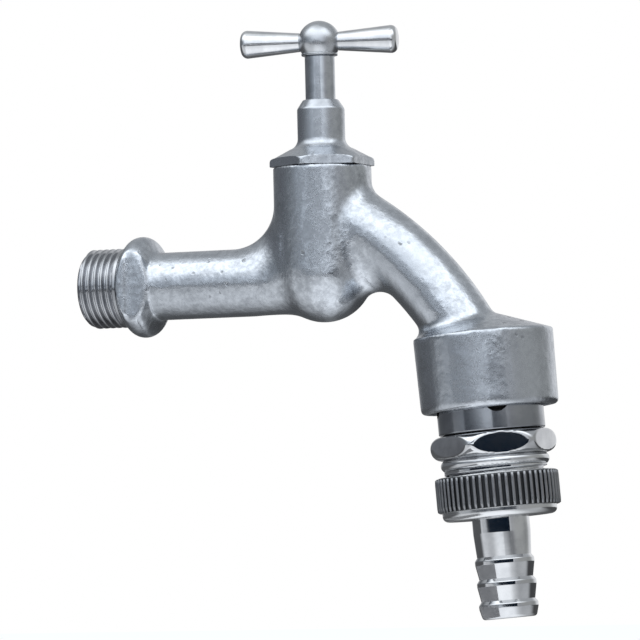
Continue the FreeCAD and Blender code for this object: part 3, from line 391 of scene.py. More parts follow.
def ribGroup():
    # Upright ribs with rounded ends, spaced evenly round local Z.
    group, tree, given = newGroup("uprightRibs", {
        "Int": ["Count"],
        "Float": ["Radius", "Rib radius", "Bottom", "Height", "Taper"],
    })
    mesh, share, way = sleeve(tree, around=11, along=9)
    angle = share * (2 * math.pi)
    # Rows crowd towards the ends, where the rib narrows.
    level = (0.5 - (way * math.pi).cosine() * 0.5) * given["Height"]
    nearEnd = (level.least(given["Height"] - level) / given["Taper"]).least(1.0)
    width = given["Rib radius"] * (nearEnd * (2 - nearEnd)) ** 0.5
    rib = wrapped(tree, mesh, angle, width, level + given["Bottom"])
    points = tree.add("GeometryNodePoints", None, {"Count": given["Count"]})
    turn = tree.wire(tree.add("GeometryNodeInputIndex")) * (2 * math.pi) / given["Count"]
    spot = tree.add("ShaderNodeCombineXYZ", None,
                    {"X": given["Radius"] * turn.cosine(), "Y": given["Radius"] * turn.sine()})
    placed = tree.add("GeometryNodeSetPosition", None,
                      {"Geometry": tree.wire(points), "Position": tree.wire(spot)})
    copies = tree.add("GeometryNodeInstanceOnPoints", None,
                      {"Points": tree.wire(placed), "Instance": rib})
    closeGroup(tree, tree.wire(copies), given["Material"])
    return group


uprightRibs = ribGroup()
print("rib group ready")


# Materials

def nodeOf(tree, kind):
    return next(node for node in tree.nodes if node.type == kind)


def newMaterial(name):
    material = bpy.data.materials.new(name)
    material.use_nodes = True
    tree = Tree(material.node_tree.nodes, material.node_tree.links)
    return material, tree, nodeOf(tree, "BSDF_PRINCIPLED")


def objectSpot(tree, scale=(1, 1, 1), turn=(0, 0, 0), shift=(0, 0, 0)):
    coordinate = tree.wire(tree.add("ShaderNodeTexCoord"), "Object")
    mapping = tree.add("ShaderNodeMapping", {"vector_type": "TEXTURE"},
                       {"Vector": coordinate, "Location": shift, "Rotation": turn, "Scale": scale})
    return tree.wire(mapping)


def noise(tree, spot, scale, detail=3.0, rough=0.55):
    node = tree.add("ShaderNodeTexNoise", None,
                    {"Vector": spot, "Scale": scale, "Detail": detail, "Roughness": rough})
    return tree.wire(node)


def mixedColour(tree, share, first, second):
    # Each of the two colours is a wire or three numbers.
    first, second = (colour if isinstance(colour, Wire) else colour + (1.0,) for colour in (first, second))
    node = tree.add("ShaderNodeMix", {"data_type": "RGBA"}, {0: share, 6: first, 7: second})
    return Wire(tree, node.outputs[2])


def dress(tree, shader, colour, roughness, height, strength, relief, metallic=1.0):
    bump = tree.add("ShaderNodeBump", None, {"Height": height, "Strength": strength, "Distance": relief})
    for wire, name in ((colour, "Base Color"), (roughness, "Roughness"), (tree.wire(bump), "Normal")):
        tree.links.new(wire.socket, shader.inputs[name])
    shader.inputs["Metallic"].default_value = metallic


castFinish = {
    "dark": (0.42, 0.445, 0.48),
    "light": (0.64, 0.675, 0.72),
    "pit": (0.10, 0.105, 0.115),
    "roughLow": 0.20,
    "roughHigh": 0.33,
    "relief": 0.00007,
    # Scale of each noise, in waves per metre
    "spangle": 1500.0,
    "mottle": 640.0,
    "pits": 260.0,
    "cloud": 150.0,
    "pitZone": 45.0,
    "patch": 30.0,
    # Where each noise goes from dark to light, from what and to what share of the tone
    "mottleTone": (0.34, 0.66, 0.0, 0.42),
    "spangleTone": (0.36, 0.64, 0.0, 0.22),
    "cloudTone": (0.32, 0.68, 0.0, 0.36),
    "patchTone": (0.38, 0.56, 0.45, 1.15),
    "pitEdge": (0.10, 0.22, 1.0, 0.0),
    "pitZoneEdge": (0.52, 0.66),
    "pitMottle": (0.46, 0.60),
    # What the pits add to the colour and roughness, and the heights beside the mottle's
    "pitTone": 0.75,
    "pitRough": 0.2,
    "pitHeight": -1.4,
    "spangleHeight": 0.12,
    "cloudHeight": 3.0,
}


def castMaterial(name, finish):
    # Thin plating over a sand-cast skin: clouds, a lumpy mottle of small spangles and a few dark pits.
    material, tree, shader = newMaterial(name)
    spot = objectSpot(tree)
    cloud = noise(tree, spot, finish["cloud"], 2.0)
    mottle = noise(tree, spot, finish["mottle"], 2.0, 0.5)
    spangle = noise(tree, spot, finish["spangle"], 1.0, 0.5)
    cells = tree.add("ShaderNodeTexVoronoi", None, {"Vector": spot, "Scale": finish["pits"]})
    pitZone = noise(tree, spot, finish["pitZone"], 1.0).between(*finish["pitZoneEdge"])
    pits = (tree.wire(cells, "Distance").between(*finish["pitEdge"]) * pitZone
            * mottle.between(*finish["pitMottle"]))
    patch = noise(tree, spot, finish["patch"], 1.0).between(*finish["patchTone"])
    mixture = (mottle.between(*finish["mottleTone"]) + spangle.between(*finish["spangleTone"])
               + cloud.between(*finish["cloudTone"]))
    tone = 0.5 + (mixture - 0.5) * patch
    plated = mixedColour(tree, tone, finish["dark"], finish["light"])
    pitted = mixedColour(tree, pits * finish["pitTone"], plated, finish["pit"])
    roughness = finish["roughHigh"] - tone * (finish["roughHigh"] - finish["roughLow"])
    lumps = ((mottle + spangle * finish["spangleHeight"]) * patch + cloud * finish["cloudHeight"]
             + pits * finish["pitHeight"])
    dress(tree, shader, pitted, roughness + pits * finish["pitRough"], lumps, 1.0, finish["relief"])
    return material


turnedFinish = {
    # Dark and light tone, lowest and highest roughness, waves of smudges per metre, depth of the rings
    # The breaker's darker tones are painted shade, for the shade it sits in between the bell and the ring.
    "breaker": ((0.28, 0.295, 0.32), (0.40, 0.415, 0.44), 0.10, 0.18, 180.0, 0.05),
    "polished": ((0.58, 0.59, 0.61), (0.80, 0.805, 0.81), 0.09, 0.20, 160.0, 0.06),
    "hub": ((0.46, 0.48, 0.51), (0.64, 0.66, 0.68), 0.20, 0.30, 180.0, 0.05),
    "satin": ((0.42, 0.445, 0.48), (0.60, 0.625, 0.66), 0.14, 0.24, 300.0, 0.25),
    "mirror": ((0.52, 0.53, 0.55), (0.74, 0.75, 0.76), 0.03, 0.09, 160.0, 0.03),
    "thread": ((0.34, 0.35, 0.37), (0.56, 0.57, 0.59), 0.10, 0.22, 220.0, 0.06),
}
turnedGrain = {
    "rings": 4200.0,
    "ringStretch": 25.0,
    "ringShare": 0.25,
    "speck": 1900.0,
    "speckShare": 0.15,
    "speckRough": 0.03,
    "speckHeight": 0.12,
    "smudgeTone": (0.32, 0.68, 0.0, 0.6),
    "smudgeHeight": 0.3,
    "strength": 0.25,
    "relief": 0.00004,
}


def placedSpot(tree, place, scale=(1, 1, 1)):
    # The spot on a piece counted from its own place, with local Z along its axis.
    location, rotation = place.decompose()[:2]
    return objectSpot(tree, scale, tuple(rotation.to_euler()), tuple(location))


def turnedMaterial(name, finish, place):
    # Chrome over turned metal: faint rings across the piece's own axis and soft smudges.
    dark, light, roughLow, roughHigh, smudges, ringHeight = finish
    grain = turnedGrain
    material, tree, shader = newMaterial(name)
    spot = placedSpot(tree, place)
    along = placedSpot(tree, place, (grain["ringStretch"], grain["ringStretch"], 1.0))
    rings = noise(tree, along, grain["rings"], 2.0)
    smudge = noise(tree, spot, smudges)
    speck = noise(tree, spot, grain["speck"], 2.0)
    tone = smudge.between(*grain["smudgeTone"]) + rings * grain["ringShare"] + speck * grain["speckShare"]
    colour = mixedColour(tree, tone.least(1.0), dark, light)
    roughness = roughLow + (1 - smudge) * (roughHigh - roughLow) + speck * grain["speckRough"]
    height = rings * ringHeight + speck * grain["speckHeight"] + smudge * grain["smudgeHeight"]
    dress(tree, shader, colour, roughness, height, grain["strength"], grain["relief"])
    return material


nutFinish = {
    # The valley colour is painted shade down in the flutes, between the ribs.
    "valleyShade": (0.045, 0.048, 0.052),
    "crest": (0.40, 0.41, 0.43),
    "rim": (0.66, 0.67, 0.68),
    "crestStart": 15.35,
    "crestEnd": 15.95,
    "ribStart": 36.4,
    "ribEnd": 44.75,
    "ribEdge": 0.35,
    "grain": 1500.0,
    "smudge": 260.0,
    "wear": 0.6,
    "rimRough": 0.17,
    "ribRough": 0.14,
    "grainRough": 0.12,
}


def nutMaterial(name, finish, place):
    # Bright rims and crests; the dark colour down in the flutes is painted shade.
    material, tree, shader = newMaterial(name)
    spot = placedSpot(tree, place)
    parts = tree.add("ShaderNodeSeparateXYZ", None, {0: spot})
    radius = (tree.wire(parts, "X") ** 2 + tree.wire(parts, "Y") ** 2) ** 0.5
    level = tree.wire(parts, "Z")
    grain = noise(tree, spot, finish["grain"])
    smudge = noise(tree, spot, finish["smudge"])
    crest = radius.between(finish["crestStart"] * mm, finish["crestEnd"] * mm)
    start, end, edge = finish["ribStart"], finish["ribEnd"], finish["ribEdge"]
    ribbed = (level.between((start - edge) * mm, start * mm)
              * level.between(end * mm, (end + edge) * mm, 1.0, 0.0))
    # Painted shade: the flutes go from the dark valley colour at their bottoms to the crest colour at their
    # tops.
    shadedFlutes = mixedColour(tree, crest * (0.5 + smudge * finish["wear"]), finish["valleyShade"], finish["crest"])
    colour = mixedColour(tree, ribbed, finish["rim"], shadedFlutes)
    roughness = finish["rimRough"] + ribbed * finish["ribRough"] + (grain - 0.5) * finish["grainRough"]
    dress(tree, shader, colour, roughness, (grain + smudge) * 0.5, strength=0.25, relief=0.00005)
    return material


plainFinish = {
    # Dark and light tone, roughness, metallic, waves of grain per metre, relief
    "blackRubber": ((0.018, 0.018, 0.019), (0.045, 0.045, 0.046), 0.62, 0.0, 900.0, 0.00005),
    "whitePlastic": ((0.72, 0.72, 0.69), (0.80, 0.80, 0.77), 0.42, 0.0, 700.0, 0.00002),
    "turnedBrass": ((0.66, 0.47, 0.19), (0.80, 0.62, 0.30), 0.26, 1.0, 800.0, 0.00002),
    "springWire": ((0.42, 0.42, 0.43), (0.60, 0.60, 0.61), 0.24, 1.0, 1200.0, 0.00001),
}


def plainMaterial(name, finish):
    # Rubber, plastic, brass and spring wire inside the tap.
    dark, light, roughness, metallic, grain, relief = finish
    material, tree, shader = newMaterial(name)
    fine = noise(tree, objectSpot(tree), grain)
    colour = mixedColour(tree, fine.between(0.3, 0.7), dark, light)
    dress(tree, shader, colour, roughness + (fine - 0.5) * 0.15, fine, 0.3, relief, metallic)
    return material


castChrome = castMaterial("castChrome", castFinish)
bonnetFinish = dict(castFinish, light=(0.62, 0.65, 0.69), roughLow=0.23, roughHigh=0.34, relief=0.00004)
bonnetChrome = castMaterial("bonnetChrome", bonnetFinish)
handleChrome = turnedMaterial("handleChrome", turnedFinish["polished"], armPlace)
hubChrome = turnedMaterial("hubChrome", turnedFinish["hub"], stemPlace)
outletChrome = turnedMaterial("outletChrome", turnedFinish["mirror"], outletPlace)
# The breaker's material is darker as painted shade under the bell.
breakerShadedChrome = turnedMaterial("breakerShadedChrome", turnedFinish["breaker"], outletPlace)
threadChrome = turnedMaterial("threadChrome", turnedFinish["thread"], inletPlace)
spindleSteel = turnedMaterial("spindleSatin", turnedFinish["satin"], stemPlace)
nutChrome = nutMaterial("nutChrome", nutFinish, outletPlace)
plain = {name: plainMaterial(name, finish) for name, finish in plainFinish.items()}
print("materials ready")


# Cast body

castBody = {
    "threadRoot": 9.25,
    "threadEnd": 11.3,
    "threadRoom": 12.0,
    "voxel": 0.5,
    "smoothing": 4,
    "pipeRadius": 8.9,
    "barrelRadius": 12.8,
    "blendReach": 7.0,
    "blendSmoothing": 120,
    "collarFlat": 9.7,
    "collarMiddle": 5.6,
    "collarHalf": 4.6,
    "collarHeight": 10.2,
    "collarDepth": 1.5,
    "collarShare": 0.11,
}


def castZone(spot):
    # How much a point of the skin is softened: most in the cast blend between inlet pipe and barrel,
    # where the two surfaces meet, and a little at the rims of the collar's spanner flats.
    x, y, z = spot / mm
    offFlat = max(abs(x - castBody["collarMiddle"]) / castBody["collarHalf"],
                  abs(z) / castBody["collarHeight"],
                  (castBody["collarFlat"] - abs(y)) / castBody["collarDepth"])
    if offFlat < 1:
        return min(4 * (1 - offFlat), 1) * castBody["collarShare"]
    offPipe = abs(math.hypot(y, z) - castBody["pipeRadius"])
    offBarrel = abs(math.hypot(x - tapAxes["stemX"], y) - castBody["barrelRadius"])
    share = 1 - (offPipe + offBarrel) / castBody["blendReach"]
    return share * (2 - share) if share > 0 and x < tapAxes["stemX"] else 0


def makeCastBody():
    # The node's own shape, skinned afresh so that its edges and seams are soft like a casting's.
    mesh = frame["nodes"]["valve_body"].data.copy()
    mesh.name = "castBody"
    shape = bmesh.new()
    shape.from_mesh(mesh)
    bmesh.ops.remove_doubles(shape, verts=shape.verts, dist=2e-6)
    shape.to_mesh(mesh)
    shape.free()
    body = newPiece("castBody", mesh, castChrome)
    # The plain thread cylinder is cut down, because the threaded sleeve goes over it.
    cutter = turned("threadCutter", [
        (castBody["threadRoot"], 0.02),
        (castBody["threadRoom"], 0.02),
        (castBody["threadRoom"], castBody["threadEnd"] + 0.5),
        (castBody["threadRoot"], castBody["threadEnd"] + 0.5),
    ], inletPlace, castChrome, 96)
    cutAway(body, "threadRelief", cutter)
    skin = body.modifiers.new("castSkin", "REMESH")
    skin.mode = "VOXEL"
    skin.voxel_size = castBody["voxel"] * mm
    soften(body, "soften", castBody["smoothing"])
    rough = remade("castRough", [body, cutter], castChrome, 60)
    zone = rough.vertex_groups.new(name="castZone")
    for vertex in rough.data.vertices:
        share = castZone(vertex.co)
        if share:
            zone.add([vertex.index], share, "REPLACE")
    soften(rough, "widerBlend", castBody["blendSmoothing"], zone.name)
    return remade("castBody", [rough], castChrome, 60)


castPiece = makeCastBody()
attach(castPiece, "body")
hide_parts("valve_body")
print("cast body:", len(castPiece.data.polygons), "faces")


# Inlet thread

inletThread = {
    "Major radius": 10.4775,
    "Depth": 1.162,
    "Pitch": 1.814,
    "Length": 11.3,
    "Lead": 1.3,
    "Run-out": 1.7,
    "Rows": 110,
}
inletMouth = {
    # Radius, level and rounding of the lip inside the thread's open end
    "profile": [
        (6.55, 10.3),
        (6.25, 10.6),
        (6.85, 11.3, 0.2),
        (9.1775, 11.3, 0.15),
        (9.1775, 10.3),
    ],
}
inletPiece = grown("inletThread", screwThread, inletThread, inletPlace, threadChrome)
mouthLip = turned("inletMouth", inletMouth["profile"], inletPlace, threadChrome, 144)
for piece in (inletPiece, mouthLip):
    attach(piece, "body")
    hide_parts("valve_body")
print("inlet thread:", len(inletPiece.data.polygons), "faces")


# Bonnet and spindle

bonnet = {
    "face": 29.4,
    "flats": 24.0,
    "flatTurn": -63.0,
    "flatHeight": 4.6,
    "corner": 13.8564,
    "rim": 1.1,
    "shoulder": 12.6,
    "neck": 6.2,
    "bore": 3.95,
    "wideBore": 5.95,
    "plug": 10.4775,
    "plugLength": 8.5,
    "height": 17.4,
}
face = bonnet["face"]
flange = (bonnet["corner"], face + bonnet["rim"])
shoulder = (bonnet["shoulder"], face + 2.2)
neckFoot = (bonnet["neck"], face + 7.2)
bonnetPiece = turned("bonnetTop", [
    (bonnet["wideBore"], face - bonnet["plugLength"]),
    (bonnet["plug"], face - bonnet["plugLength"], 0.4),
    (bonnet["plug"], face),
    (bonnet["corner"], face, 0.25),
    (*flange, 0.3),
    *bulged(flange, shoulder, 1.3, 6),
    shoulder,
    (8.3, face + 4.5),
    *bulged((8.3, face + 4.5), neckFoot, 3.0, 8, side=-1),
    neckFoot,
    (bonnet["neck"], face + 15.0, 1.2),
    (4.6, face + bonnet["height"], 0.5),
    (bonnet["bore"], face + bonnet["height"], 0.1),
    (bonnet["bore"], face + 5.2),
    (bonnet["wideBore"], face + 5.2),
], stemPlace, bonnetChrome, 288,
    hexagonLimit(bonnet["flats"], bonnet["flatTurn"], face, face + bonnet["flatHeight"]), steps=6)
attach(bonnetPiece, "body")
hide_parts("bonnet")

spindle = {
    # Radius, level and rounding: the jumper's socket, the thread, the shank and the square
    "profile": [
        (0, 23.0),
        (2.6, 23.0),
        (2.6, 16.0),
        (4.5, 16.0, 0.4),
        (4.5, 21.5),
        (5.9, 21.5, 0.3),
        (5.9, 29.4, 0.3),
        (3.9, 29.4),
        (3.9, 58.0),
        (3.6, 58.3),
        (3.1, 58.3),
        (3.1, 64.3),
        (0, 64.3),
    ],
}
spindlePiece = turned("spindleShank", spindle["profile"], stemPlace, spindleSteel, 128)
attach(spindlePiece, "spindle_set")
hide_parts("spindle")
print("bonnet and spindle made")


# Handle

hub = {
    "bottom": 58.3,
    "middle": tapAxes["hubMiddle"],
    "ball": 5.5,
    "foot": 4.75,
    "footHeight": 0.7,
    "socket": 2.9,
    "socketDepth": 6.1,
}
footTop = hub["bottom"] + hub["footHeight"]
hubTop = (0, hub["middle"] + hub["ball"])
ballFoot = (math.sqrt(hub["ball"] ** 2 - (hub["middle"] - hub["bottom"] - hub["footHeight"]) ** 2), footTop)
hubPiece = turned("handleHub", [
    (0, hub["bottom"] + hub["socketDepth"]),
    (hub["socket"], hub["bottom"] + hub["socketDepth"]),
    (hub["socket"], hub["bottom"]),
    (hub["foot"], hub["bottom"], 0.25),
    (hub["foot"], footTop, 0.2),
    ballFoot,
    *bulged(ballFoot, hubTop, hub["ball"], 28),
    hubTop,
], stemPlace, hubChrome, 128)
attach(hubPiece, "spindle_set")
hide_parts("handle_hub")

arm = {
    "seat": 4.95,
    "socket": 1.6,
    "socketDepth": 1.5,
    "rootRadius": 2.45,
    "tipRadius": 3.65,
    "length": 20.9,
    "dome": 0.3,
    "domeRadius": 8.5,
    "corner": 1.7,
    "cornerDrop": 1.35,
}


def makeArm(name, node, turn):
    place = hubPlace @ rotated(turn, "Z") @ rotated(90, "Y")
    edge = (arm["tipRadius"] - arm["cornerDrop"], arm["length"] - arm["dome"])
    corner = (arm["tipRadius"], arm["length"] - arm["dome"] - arm["corner"])
    piece = turned(name, [
        (0, arm["seat"] - arm["socketDepth"]),
        (arm["socket"], arm["seat"] - arm["socketDepth"]),
        (arm["socket"], arm["seat"]),
        (arm["rootRadius"] - 0.2, arm["seat"]),
        (arm["rootRadius"], arm["seat"] + 0.2),
        corner,
        *bulged(corner, edge, arm["corner"], 9),
        edge,
        *bulged(edge, (0, arm["length"]), arm["domeRadius"], 6),
        (0, arm["length"]),
    ], place, handleChrome, 112, sharpAngle=40)
    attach(piece, "spindle_set")
    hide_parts(node)


makeArm("handleArmRight", "handle_arm_right", 0)
makeArm("handleArmLeft", "handle_arm_left", 180)
print("handle made")


# Vacuum breaker, adapter, union nut and hose tail, all along the outlet axis

breaker = {
    # Radius, level and rounding: the neck in the bell, the shell, its lip and the two bores
    "profile": [
        (9.6, 5.4),
        (12.0, 5.4, 0.3),
        (12.0, 11.0),
        (13.7, 11.0, 0.4),
        (13.7, 25.2, 0.35),
        (12.7, 25.2),
        (12.7, 24.2),
        (11.58, 24.2),
        (11.58, 20.8),
        (10.8, 20.8),
        (10.8, 9.6),
        (8.8, 9.6),
        (8.8, 8.0),
        (9.6, 8.0),
    ],
    "airHole": 3.2,
    "airHoleLevel": 17.5,
    "airHoleTurn": -117.0,
    "airHoleCount": 4,
}


def makeBreaker():
    shell = turned("breakerBody", breaker["profile"], outletPlace, breakerShadedChrome, 192)
    shape = bmesh.new()
    for index in range(breaker["airHoleCount"]):
        turn = breaker["airHoleTurn"] + 360 / breaker["airHoleCount"] * index
        aim = rotated(turn, "Z") @ rotated(90, "Y")
        spot = outletPlace @ shifted(0, 0, breaker["airHoleLevel"]) @ aim @ shifted(0, 0, 13)
        bmesh.ops.create_cone(shape, cap_ends=True, segments=48, radius1=breaker["airHole"] * mm,
                              radius2=breaker["airHole"] * mm, depth=8 * mm, matrix=spot)
    drill = linked("airDrill", bpy.data.meshes.new("airDrill"))
    shape.to_mesh(drill.data)
    shape.free()
    cutAway(shell, "airHoles", drill)
    return remade("breakerBody", [shell, drill], breakerShadedChrome)


breakerPiece = makeBreaker()
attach(breakerPiece, "body")
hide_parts("breaker_body")

adapter = {
    "bore": 8.0,
    "top": 21.3,
    "spigot": 11.5,
    "ringTop": 25.5,
    "ringEnd": 31.6,
    "ringFoot": 13.5,
    "ringRise": 2.8,
    "stepEnd": 34.5,
    "stepFoot": 13.05,
    "stepRise": 0.9,
    "threadEnd": 40.1,
    "flats": 29.0,
    "flatTurn": -117.0,
}
adapterScrew = {
    "Major radius": 13.2205,
    "Depth": 1.162,
    "Pitch": 1.814,
    "Length": adapter["threadEnd"] - adapter["stepEnd"],
    "Lead": 0.8,
    "Run-out": 0.9,
    "Rows": 60,
}


def archOver(foot, rise, start, end, steps):
    # The rounded outside of a ring that stands on one radius between two levels.
    half = (end - start) / 2
    radius = (rise * rise + half * half) / (2 * rise)
    return [(foot, start), *bulged((foot, start), (foot, end), radius, steps), (foot, end)]


# The core stays just inside the threaded sleeve.
threadCore = adapterScrew["Major radius"] - adapterScrew["Depth"] - 0.05
adapterPiece = turned("hexAdapter", [
    (adapter["bore"], adapter["top"]),
    (adapter["spigot"], adapter["top"], 0.4),
    (adapter["spigot"], adapter["ringTop"]),
    *archOver(adapter["ringFoot"], adapter["ringRise"], adapter["ringTop"], adapter["ringEnd"], 26),
    *archOver(adapter["stepFoot"], adapter["stepRise"], adapter["ringEnd"] + 0.02, adapter["stepEnd"], 12),
    (threadCore, adapter["stepEnd"] + 0.02),
    (threadCore, adapter["threadEnd"]),
    (adapter["bore"], adapter["threadEnd"]),
], outletPlace, outletChrome, 360,
    hexagonLimit(adapter["flats"], adapter["flatTurn"], adapter["ringTop"], adapter["ringEnd"]),
    sharpAngle=24)
adapterThread = grown("adapterThread", screwThread, adapterScrew,
                      outletPlace @ shifted(0, 0, adapter["stepEnd"]), outletChrome)
for piece in (adapterPiece, adapterThread):
    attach(piece, "body")
    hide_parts("hex_adapter")

unionNut = {
    "top": 36.0,
    "floor": 44.5,
    "end": 47.3,
    "root": 15.35,
    "rootEnd": 45.0,
    "rim": 14.7,
    "bore": 13.3,
    "hole": 7.75,
}
nutFlutes = {
    "Count": 58,
    "Radius": 15.34,
    "Rib radius": 0.56,
    "Bottom": unionNut["top"] + 0.15,
    "Height": unionNut["rootEnd"] - unionNut["top"] - 0.15,
    "Taper": 0.7,
}
nutPiece = turned("unionNut", [
    (unionNut["hole"], unionNut["floor"]),
    (unionNut["bore"], unionNut["floor"]),
    (unionNut["bore"], unionNut["top"], 0.3),
    (unionNut["root"] - 0.45, unionNut["top"], 0.2),
    (unionNut["root"], unionNut["top"] + 0.7, 0.2),
    (unionNut["root"], unionNut["rootEnd"], 0.15),
    (unionNut["rim"], unionNut["rootEnd"] + 0.05),
    (unionNut["rim"], unionNut["end"], 1.5),
    (unionNut["hole"], unionNut["end"], 0.25),
], outletPlace, nutChrome, 232, steps=8)
nutRibs = grown("unionNutRibs", uprightRibs, nutFlutes, outletPlace, nutChrome)
for piece in (nutPiece, nutRibs):
    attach(piece, "nut")
    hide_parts("union_nut")

tail = {
    "bore": 5.0,
    "top": 42.35,
    "collar": 12.3,
    "collarEnd": 44.45,
    "neck": 7.35,
    "neckEnd": 51.0,
    "waist": 6.95,
    "barbStart": 57.1,
    "barbPitch": 5.65,
    "barbEdge": 0.9,
    "barbLand": 1.0,
    "barbs": 3,
    "barb": 7.6,
    "root": 6.9,
    "end": 73.0,
}


def makeTail():
    corners = [
        (tail["bore"], tail["top"], 0.3),
        (tail["collar"], tail["top"], 0.3),
        (tail["collar"], tail["collarEnd"], 0.3),
        (tail["neck"], tail["collarEnd"]),
        (tail["neck"], tail["neckEnd"], 1.5),
        (tail["waist"], tail["barbStart"]),
    ]
    for barb in range(tail["barbs"]):
        edge = tail["barbStart"] + barb * tail["barbPitch"]
        if barb:
            corners.append((tail["root"], edge))
        corners.append((tail["barb"], edge + tail["barbEdge"], 0.45))
        corners.append((tail["barb"], edge + tail["barbEdge"] + tail["barbLand"], 1.2))
    corners += [
        (tail["root"], tail["end"], 0.9),
        (tail["bore"] + 0.3, tail["end"], 0.2),
        (tail["bore"], tail["end"] - 0.5),
    ]
    return turned("hoseTail", corners, outletPlace, outletChrome, steps=6)


tailPiece = makeTail()
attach(tailPiece, "tail_set")
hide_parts("hose_tail")
print("outlet pieces made")


# The check valve's spring

coilSpring = {
    "radius": 2.6,
    "wire": 0.25,
    "turns": 3.5,
    "top": 9.9,
    "bottom": 14.9,
    "travel": 2.5,
    "turnSteps": 48,
    "sides": 12,
}


def makeSpring():
    # A round wire on a screw line, with both ends closed.
    rise = coilSpring["bottom"] - coilSpring["top"]
    slope = math.atan2(rise / coilSpring["turns"], 2 * math.pi * coilSpring["radius"])
    count = round(coilSpring["turns"] * coilSpring["turnSteps"])
    sides = coilSpring["sides"]
    points = []
    faces = [tuple(range(sides)), tuple(count * sides + side for side in reversed(range(sides)))]
    for step in range(count + 1):
        angle = 2 * math.pi * coilSpring["turns"] * step / count
        outward = Vector((math.cos(angle), math.sin(angle), 0))
        upright = Vector((math.sin(angle) * math.sin(slope), -math.cos(angle) * math.sin(slope),
                          math.cos(slope)))
        centre = outward * coilSpring["radius"] + Vector((0, 0, coilSpring["top"] + rise * step / count))
        for side in range(sides):
            turn = 2 * math.pi * side / sides
            reach = outward * math.cos(turn) + upright * math.sin(turn)
            points.append((centre + reach * coilSpring["wire"]) * mm)
            if step:
                before, after = (step - 1) * sides, (side + 1) % sides
                faces.append((before + side, before + sides + side, before + sides + after, before + after))
    mesh = bpy.data.meshes.new("checkSpring")
    mesh.from_pydata(points, [], faces)
    mesh.transform(outletPlace)
    return newPiece("checkSpring", mesh, plain["springWire"], 60)


springPiece = makeSpring()
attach(springPiece, "body")
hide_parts("check_spring")
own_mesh(springPiece)
print("spring made")


# CAD pieces that stay as they are, by their material

keptNodes = {
    "blackRubber": ["bonnet_gasket", "spindle_o_rings", "seat_washer", "breaker_gasket", "poppet_seal",
                    "air_diaphragm", "adapter_o_ring", "tail_washer"],
    "turnedBrass": ["jumper", "washer_screw"],
    "whitePlastic": ["check_cage", "check_poppet"],
    "springWire": ["handle_grub_screw"],
}
for finish, names in keptNodes.items():
    for name in names:
        mesh = frame["nodes"][name].data
        mesh.materials.clear()
        mesh.materials.append(plain[finish])


# Studio

photoCamera = {
    "azimuth": 21.5,
    "elevation": -2.6,
    "roll": 1.32,
    "distance": 1.2,
    "target": (0.05362, 0.0, -0.01051),
    "lens": 259.6,
}
viewSine = math.sin(math.radians(photoCamera["azimuth"]))
viewCosine = math.cos(math.radians(photoCamera["azimuth"]))

studio = {
    "floorLevel": -0.16,
    "floorSize": 6.0,
    "fill": 0.7,
    "middle": 0.055,
}


def rayKinds(tree):
    # Whether a ray comes from the camera, and whether it was mirrored or let through.
    path = tree.add("ShaderNodeLightPath")
    mirrored = tree.wire(path, "Is Glossy Ray").most(tree.wire(path, "Is Transmission Ray"))
    return tree.wire(path, "Is Camera Ray"), mirrored


def roomWays(tree, source, middle=0.0):
    # Parts of a spot or direction: ahead to the photo's camera, across to its right, and up.
    parts = tree.add("ShaderNodeSeparateXYZ", None, {0: tree.wire(tree.add("ShaderNodeTexCoord"), source)})
    x, y = tree.wire(parts, "X") - middle, tree.wire(parts, "Y")
    return x * viewSine - y * viewCosine, x * viewCosine + y * viewSine, tree.wire(parts, "Z")


floorTone = {
    "colour": (0.97, 1.0, 1.04, 1),
    # Brightness of the mirrored floor: where each step starts and ends, and its two tones
    "behind": (-0.16, 0.06, 0.20, 1.35),
    "ahead": (0.10, 0.40, 1.0, 0.82),
    "aside": (0.20, 0.80, 1.0, 0.60),
    "farAhead": (1.10, 1.80, 1.0, 0.40),
    "right": (0.07, 0.18, 1.0, 0.70),
    "far": (0.04, 0.36),
    # The spot from which sideways distance is measured against the distance ahead
    "spotAcross": 0.02,
    "spotBehind": 0.12,
}


def makeFloor():
    mesh = bpy.data.meshes.new("studioFloor")
    half = studio["floorSize"] / 2
    mesh.from_pydata([(x * half, y * half, studio["floorLevel"])
                      for x, y in ((-1, -1), (1, -1), (1, 1), (-1, 1))], [], [(0, 1, 2, 3)])
    material, tree, shader = newMaterial("paleFloor")
    shader.inputs["Base Color"].default_value = (0.86, 0.86, 0.86, 1.0)
    shader.inputs["Roughness"].default_value = 0.9
    camera, mirrored = rayKinds(tree)
    ahead, across = roomWays(tree, "Object", studio["middle"])[:2]
    aside = (across - floorTone["spotAcross"]).size() / (ahead + floorTone["spotBehind"]).most(0.05)
    shine = (ahead.between(*floorTone["behind"]) * ahead.between(*floorTone["ahead"])
             * aside.between(*floorTone["aside"]) * ahead.between(*floorTone["farAhead"])
             * across.between(*floorTone["right"]))
    far = (ahead ** 2 + across ** 2).between(*floorTone["far"])
    strength = camera + mirrored * (1 - camera) * shine
    glow = tree.add("ShaderNodeEmission", None, {"Color": floorTone["colour"], "Strength": strength})
    # The camera sees a white floor with a hint of the tap's shadow, and the metal only its glow.
    share = camera * (0.8 + far * 0.2) + mirrored * (1 - camera)
    mixed = tree.add("ShaderNodeMixShader", None, {0: share, 1: tree.wire(shader), 2: tree.wire(glow)})
    tree.links.new(mixed.outputs[0], nodeOf(tree, "OUTPUT_MATERIAL").inputs["Surface"])
    mesh.materials.append(material)
    floor = linked("studioFloor", mesh)


